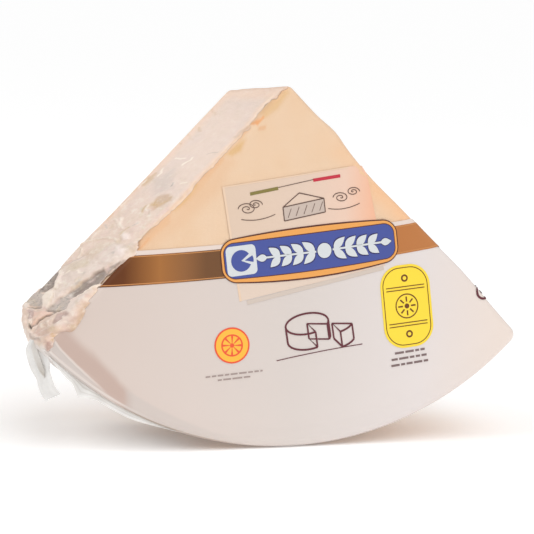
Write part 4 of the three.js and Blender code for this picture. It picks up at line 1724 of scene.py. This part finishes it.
@dataclass
class SmallPrints:
    """The title's drawing, the round seal, the yellow badge and the small print's plain dashes."""

    title: tuple[Flat, float] = ((20.0, 142.5), 8.6)
    seal: Flat = (-35.6, 150.8)
    badge: tuple[Flat, float] = ((74.6, 130.2), 6.0)
    round_size: Flat = (13.5, 6.0)
    height: float = 9.0
    wine: InkFinish = InkFinish("wine_ink", "wine_print", srgb(104, 50, 58))

    def build_round(self, art: Sheet, middle: Flat, start: float, end: float) -> None:
        """Draws a wheel, or the slice drawn out of it.

        Args:
            art: The drawing.
            middle: The middle of its top.
            start: Where its top starts, in degrees.
            end: Where it ends.
        """
        low = moved(middle, 0.0, self.height)
        top, foot = (ellipse(at, self.round_size, start, end) for at in (middle, low))
        art.trace(top, 1.1, 44)
        if end > 90:
            art.trace(ellipse(low, self.round_size, 70, 180), 1.1, 20)
            art.trace(ellipse(low, self.round_size, 0, 22), 1.1, 6)
            for x in (-self.round_size[0], self.round_size[0]):
                art.stroke(1.1, moved(middle, x, 0.0), moved(low, x, 0.0))
            art.stroke(0.9, foot(0), low, foot(1))
        else:
            art.trace(foot, 1.1, 8).stroke(1.1, low, foot(1))
        art.stroke(1.0, top(0), middle, top(1)).stroke(1.0, middle, low)
        art.stroke(1.0, top(0), foot(0)).stroke(1.0, top(1), foot(1))

    def build_title(self) -> None:
        """Builds the line drawing of a wheel with a slice drawn out, and the rule below it."""
        art = Sheet(*self.title)
        self.build_round(art, (-8.5, -4.5), 70, 382)
        self.build_round(art, (7.0, -2.0), 22, 70)
        art.lay("title_drawing", self.wine, 0.3)
        rule = line((-8.0, 160.4), (46.0, 152.0), 0.5)
        Sheet().trace(rule, 0.5, 12).lay("title_rule", self.wine, 0.3)
        ring = Sheet().disc((125.0, 122.4), (5.2, 5.2), (4.1, 4.1))
        ring.disc((125.6, 122.4), (1.4, 1.4)).lay("edge_ring", self.wine, 0.3)

    def build_seal(self) -> None:
        """Builds the round seal: a wheel cut in eight."""
        orange = InkFinish("orange_ink", "yellow_print", srgb(240, 92, 58))
        Sheet(self.seal).disc((0, 0), (10.8, 10.4)).lay("seal_rim", orange, 0.3)
        ring = Sheet(self.seal).disc((0, 0), (9.8, 9.45), (6.7, 6.45))
        for start in range(7, 360, 45):
            ring.disc((0, 0), (5.7, 5.5), (1.3, 1.3), start, start + 31, steps=8)
        ring.lay("seal_sectors", InkFinish("amber_ink", "yellow_print", srgb(254, 190, 70)), 0.36)

    def build_badge(self) -> None:
        """Builds the yellow badge with its border, rules and a plain round."""
        yellow = InkFinish("yellow_ink", "yellow_print", srgb(254, 222, 66))
        Sheet(*self.badge).board((16.0, 24.5), 12.6).lay("badge", yellow, 0.3)
        art = Sheet(*self.badge).board((14.6, 23.1), 11.2, 0.5)
        for y in (-11.6, -9.8, 9.8, 11.6):
            art.stroke(0.55, (-12.4, y), (12.4, y))
        art.disc((0, 0), (7.4, 7.4), (6.7, 6.7)).disc((0, 0), (1.5, 1.5), steps=16)
        for turn in (index * math.pi / 4 for index in range(8)):
            way = Vector((math.cos(turn), math.sin(turn)))
            art.stroke(0.9, tuple(way * 2.6), tuple(way * 5.6))
        for y in (-16.6, 16.6):
            art.disc((0, y), (2.2, 2.2), (1.2, 1.2), steps=20)
        art.lay("badge_lines", InkFinish("rule_ink", "yellow_print", srgb(110, 64, 30)), 0.38)

    @staticmethod
    def dashes(sheet: Sheet, start: Flat, length: float, height: float, seed: int) -> None:
        """Draws a row of short dashes of uneven length.

        Args:
            sheet: The drawing.
            start: Where the row starts.
            length: How long it is.
            height: How high a dash is.
            seed: Which row of the kind.
        """
        x, index = 0.0, 0
        while x < length:
            part = min(length - x, 2.2 + 3.8 * lattice(index, seed, 61))
            if part > 0.8:
                sheet.stroke(height, moved(start, x, 0.0), moved(start, x + part, 0.0))
            x += part + 1.0
            index += 1

    def build_notes(self) -> None:
        """Builds the small print's dashes."""
        for name, ink, middle, height, rows in (
                ("seal_notes", InkFinish("notes_ink", "wine_print", srgb(168, 150, 144)),
                 ((-34.0, 168.4), 4.6), 0.85, ((-17.6, -1.2, 35.0, 1), (-10.4, 1.4, 20.0, 2))),
                ("badge_notes", InkFinish("notes_dark_ink", "wine_print", srgb(128, 108, 106)),
                 ((77.0, 160.6), 7.2), 1.25,
                 ((-9.6, -3.6, 19.4, 3), (-12.2, -0.1, 24.6, 4), (-12.8, 3.4, 25.6, 5)))):
            notes = Sheet(*middle)
            for x, y, length, seed in rows:
                self.dashes(notes, (x, y), length, height, seed)
            notes.lay(name, ink, 0.3)

    def build(self) -> None:
        """Builds the small prints."""
        for build in (self.build_title, self.build_seal, self.build_badge, self.build_notes):
            build()


# Loose film

LOOSE_FILM_STEP = 0.25  # how far apart its two faces are, straight up, in millimetres


def hang_film(name: str, steps: tuple[int, int],
              shape: Callable[[float, float], tuple[Vector, float, float]]) -> bpy.types.Object:
    """Makes a piece of loose film from a grid.

    Args:
        name: The piece's name.
        steps: How many parts each way.
        shape: Gives, for a grid's place from -1 to 1 each way, the point, how milky it is and how
            grey.

    Returns:
        The piece.
    """
    bm = bmesh.new()
    bmesh.ops.create_grid(bm, x_segments=steps[0], y_segments=steps[1], size=1.0)
    milk, grey = bm.verts.layers.float.new("milk"), bm.verts.layers.float.new("grey")
    for vert in bm.verts:
        vert.co, vert[milk], vert[grey] = shape(vert.co.x, vert.co.y)
    bmesh.ops.solidify(bm, geom=bm.faces[:], thickness=LOOSE_FILM_STEP)
    bmesh.ops.recalc_face_normals(bm, faces=bm.faces)
    return make_piece(name, bm, LooseFilmFinish())


@dataclass
class FilmTail:
    """The strip of film that hangs from the gathered corner, its edges given as (x, z)."""

    left: tuple[Flat, ...] = (
        (-149.6, 64.8), (-152.1, 59.3), (-151.6, 55.0), (-149.4, 48.3), (-145.8, 42.0),
        (-144.3, 36.6), (-141.6, 31.3), (-139.6, 29.5))
    right: tuple[Flat, ...] = (
        (-142.8, 61.2), (-141.9, 58.3), (-140.8, 54.3), (-139.9, 50.4), (-140.0, 47.0),
        (-138.7, 42.1), (-137.0, 37.8), (-134.2, 33.9))
    depth: Flat = (22.0, 14.0)

    @staticmethod
    def along(edge: Sequence[Flat], share: float) -> Vector:
        """Finds the place on a smooth curve through an edge's places.

        Args:
            edge: The places.
            share: How far along them, 0 to 1.

        Returns:
            The place, as (x, z).
        """
        reach = share * (len(edge) - 1)
        index = min(len(edge) - 2, int(reach))
        before, start = Vector(edge[max(0, index - 1)]), Vector(edge[index])
        end, after = Vector(edge[index + 1]), Vector(edge[min(len(edge) - 1, index + 2)])
        t = reach - index
        return ((2 * start + (end - before) * t + (2 * before - 5 * start + 4 * end - after) * t * t
                 + (3 * start - before - 3 * end + after) * t * t * t) / 2)

    @staticmethod
    def crease(u: float, v: float) -> float:
        """Returns 1 in the long fold down the strip's middle, fading to 0 at its edge."""
        half = (0.46 - 0.2 * v) * (1 - smooth(v, 0.5, 0.68))
        return smooth(half - abs(u + 0.3 - 0.95 * v + 0.35 * v * v), 0.0, 0.14)

    def shape(self, u: float, up: float) -> tuple[Vector, float, float]:
        """Finds a point of the strip.

        Args:
            u: Across the strip, -1 to 1.
            up: Up the strip, -1 at the tip to 1 at the root.

        Returns:
            The point in the upright wheel frame, how milky it is and how grey.
        """
        side, v = (u + 1) / 2, (1 - up) / 2
        crease = self.crease(u, v)
        x, z = self.along(self.left, v).lerp(self.along(self.right, v), side)
        y = self.depth[0] + (self.depth[1] - self.depth[0]) * side + 1.4 * math.sin(2.6 * v + 2 * u)
        milk = 0.84 + 0.12 * crease + 0.06 * facets(u * 3, v * 9, 1.6, 44)
        # painted shade down the long fold, with a little random grey
        grey = (0.36 + 0.34 * smooth(v, 0.25, 0.6)) * crease + 0.12 * facets(u * 4, v * 10, 2, 45)
        return Vector((x, y - 1.6 * crease, z)), milk, grey

    def build(self) -> None:
        """Builds the tail."""
        obj = hang_film("film_tail_sheet", (44, 72), self.shape)
        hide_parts("film_tail")


@dataclass
class SeamFin:
    """The narrow fin of film along the lower left rim, with its ear."""

    start: float = -43.0
    end: float = -19.0
    width: float = 3.1
    ear_at: float = -35.6
    ear_width: float = 4.6
    ear_span: Flat = (2.1, 2.8)
    depth: float = 3.4

    def reach(self, angle: float) -> float:
        """Finds how far the fin stands out.

        Args:
            angle: Round the rim, in degrees from straight down.

        Returns:
            The way, in millimetres.
        """
        fade = smooth(angle, self.start - 1, self.start + 5)
        fade *= 1 - smooth(angle, self.end - 9, self.end)
        ear = tent(angle - self.ear_at, self.ear_span[angle > self.ear_at])
        return 0.6 + self.width * fade + self.ear_width * ear ** 1.3

    def shape(self, u: float, v: float) -> tuple[Vector, float, float]:
        """Finds a point of the fin.

        Args:
            u: Along the fin, -1 to 1.
            v: Outwards, -1 to 1.

        Returns:
            The point in the upright wheel frame, how milky it is and how grey.
        """
        degrees, share = self.start + (self.end - self.start) * (u + 1) / 2, (v + 1) / 2
        angle = math.radians(degrees)
        radius = WHEEL.level(self.depth)[0] - 0.3 + self.reach(degrees) * share
        y = self.depth - 1.2 * share + 0.7 * facets(degrees * 2.2, share * 3, 3.0, 41) * share
        # painted shade in two lines along the fin's creases, with some random grey
        grey = (0.35 * tent(share - 0.25, 0.1) + 0.25 * tent(share - 0.6, 0.08)
                + 0.3 * facets(degrees * 1.4, 0, 3, 42) ** 3)
        point = WHEEL.upright(radius * math.sin(angle), y, radius * math.cos(angle))
        return point, 0.8 + 0.15 * tent(share - 1.0, 0.25), grey

    def build(self) -> None:
        """Builds the fin."""
        obj = hang_film("film_fin_sheet", (140, 20), self.shape)
        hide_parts("film_seam_fin")


# Studio


@dataclass(frozen=True)
class Lamp:
    """A soft rectangular light that looks at the wedge, in the part's frame and metres."""

    name: str
    place: tuple[float, float, float]
    size: Flat
    power: float
    target: tuple[float, float, float] = (0.0, 0.0, 0.1)

    def build(self) -> None:
        """Adds the light."""
        light = bpy.data.lights.new(self.name, "AREA")
        light.shape, light.energy = "RECTANGLE", self.power
        light.size, light.size_y = self.size
        obj = linked(self.name, light)
        obj.location = self.place
        obj.rotation_mode = "QUATERNION"
        obj.rotation_quaternion = (Vector(self.target) - Vector(self.place)).to_track_quat("-Z", "Y")


@dataclass
class Studio:
    """The pale floor, the soft light and the camera.

    The camera is fitted to the photograph: turned by degrees, so many millimetres from a place in
    the wheel's frame, and with its focal length and its picture's width in pixels.
    """

    yaw: float = 21.3
    pitch: float = 2.4
    roll: float = 0.1
    distance: float = 1394.0
    focus: tuple[float, float, float] = (-14.0, 0.0, 104.5)
    sensor: float = 36.0
    focal: float = 2416.0
    picture: float = 534.0
    world: float = 0.5
    sun: float = 1.3
    sun_spread: float = 70.0
    sun_turn: tuple[float, float, float] = (38.0, 0.0, 24.0)
    floor_half: float = 60.0
    floor_glow: float = 0.16
    lamps: tuple[Lamp, ...] = (Lamp("side_light", (-1.6, -0.25, 1.7), (0.9, 0.9), 8.0),
                               Lamp("back_light", (-0.35, 2.0, 0.95), (0.8, 0.6), 3.0))

    def floor(self) -> None:
        """Builds the floor."""
        bm = bmesh.new()
        bmesh.ops.create_grid(bm, x_segments=1, y_segments=1, size=self.floor_half)
        mesh = bpy.data.meshes.new("floor")
        bm.to_mesh(mesh)
        bm.free()
        white = (1.0, 1.0, 1.0)
        mesh.materials.append(Graph("pale_floor").surface(
            Base_Color=white, Roughness=0.9, Specular_IOR_Level=0.0, Emission_Color=white,
            Emission_Strength=self.floor_glow))
        floor = linked("floor", mesh)

    def sky(self) -> None:
        """Lights the room evenly, and a little more from above on the right."""
        world = bpy.data.worlds.new("studio")
        world.use_nodes = True
        background = world.node_tree.nodes["Background"]
        background.inputs["Color"].default_value = (1.0, 1.0, 1.0, 1.0)
        background.inputs["Strength"].default_value = self.world
        bpy.context.scene.world = world
        sun = bpy.data.lights.new("sky_soft", "SUN")
        sun.energy, sun.angle = self.sun, math.radians(self.sun_spread)
        obj = linked("sky_soft", sun)
        obj.rotation_euler = tuple(math.radians(angle) for angle in self.sun_turn)

    def camera(self) -> None:
        """Places the camera at the photograph's view of the wedge."""
        yaw, pitch, roll = (math.radians(a) for a in (self.yaw, self.pitch, self.roll))
        back = Vector((-math.sin(yaw) * math.cos(pitch), -math.cos(yaw) * math.cos(pitch),
                       math.sin(pitch)))
        right = Vector((math.cos(yaw), -math.sin(yaw), 0.0))
        up = back.cross(right)
        right, up = (right * math.cos(roll) + up * math.sin(roll),
                     up * math.cos(roll) - right * math.sin(roll))
        basis = Matrix((right, up, back)).transposed().to_4x4()
        basis.translation = Vector(self.focus) + back * self.distance
        placed = WHEEL.matrix @ basis
        data = bpy.data.cameras.new("camera")
        data.sensor_width, data.lens = self.sensor, self.focal * self.sensor / self.picture
        data.clip_start, data.clip_end = 0.05, 200.0
        camera = linked("camera", data)
        camera.rotation_mode = "QUATERNION"
        camera.location = placed.translation
        camera.rotation_quaternion = placed.to_3x3().normalized().to_quaternion()
        bpy.context.scene.camera = camera

    def build(self) -> None:
        """Builds the studio."""
        self.floor()
        self.sky()
        for lamp in self.lamps:
            lamp.build()
        self.camera()
        view = bpy.context.scene.view_settings
        view.view_transform, view.look = "Standard", "None"


def main() -> None:
    """Builds the object and the studio."""
    for part in (CheeseWedge(), SealedFilm(), WhiteField(), CopperBand(), Card(),
                 BlueLabel(), SmallPrints(), FilmTail(), SeamFin(), Studio()):
        part.build()


if __name__ == "__main__":
    main()
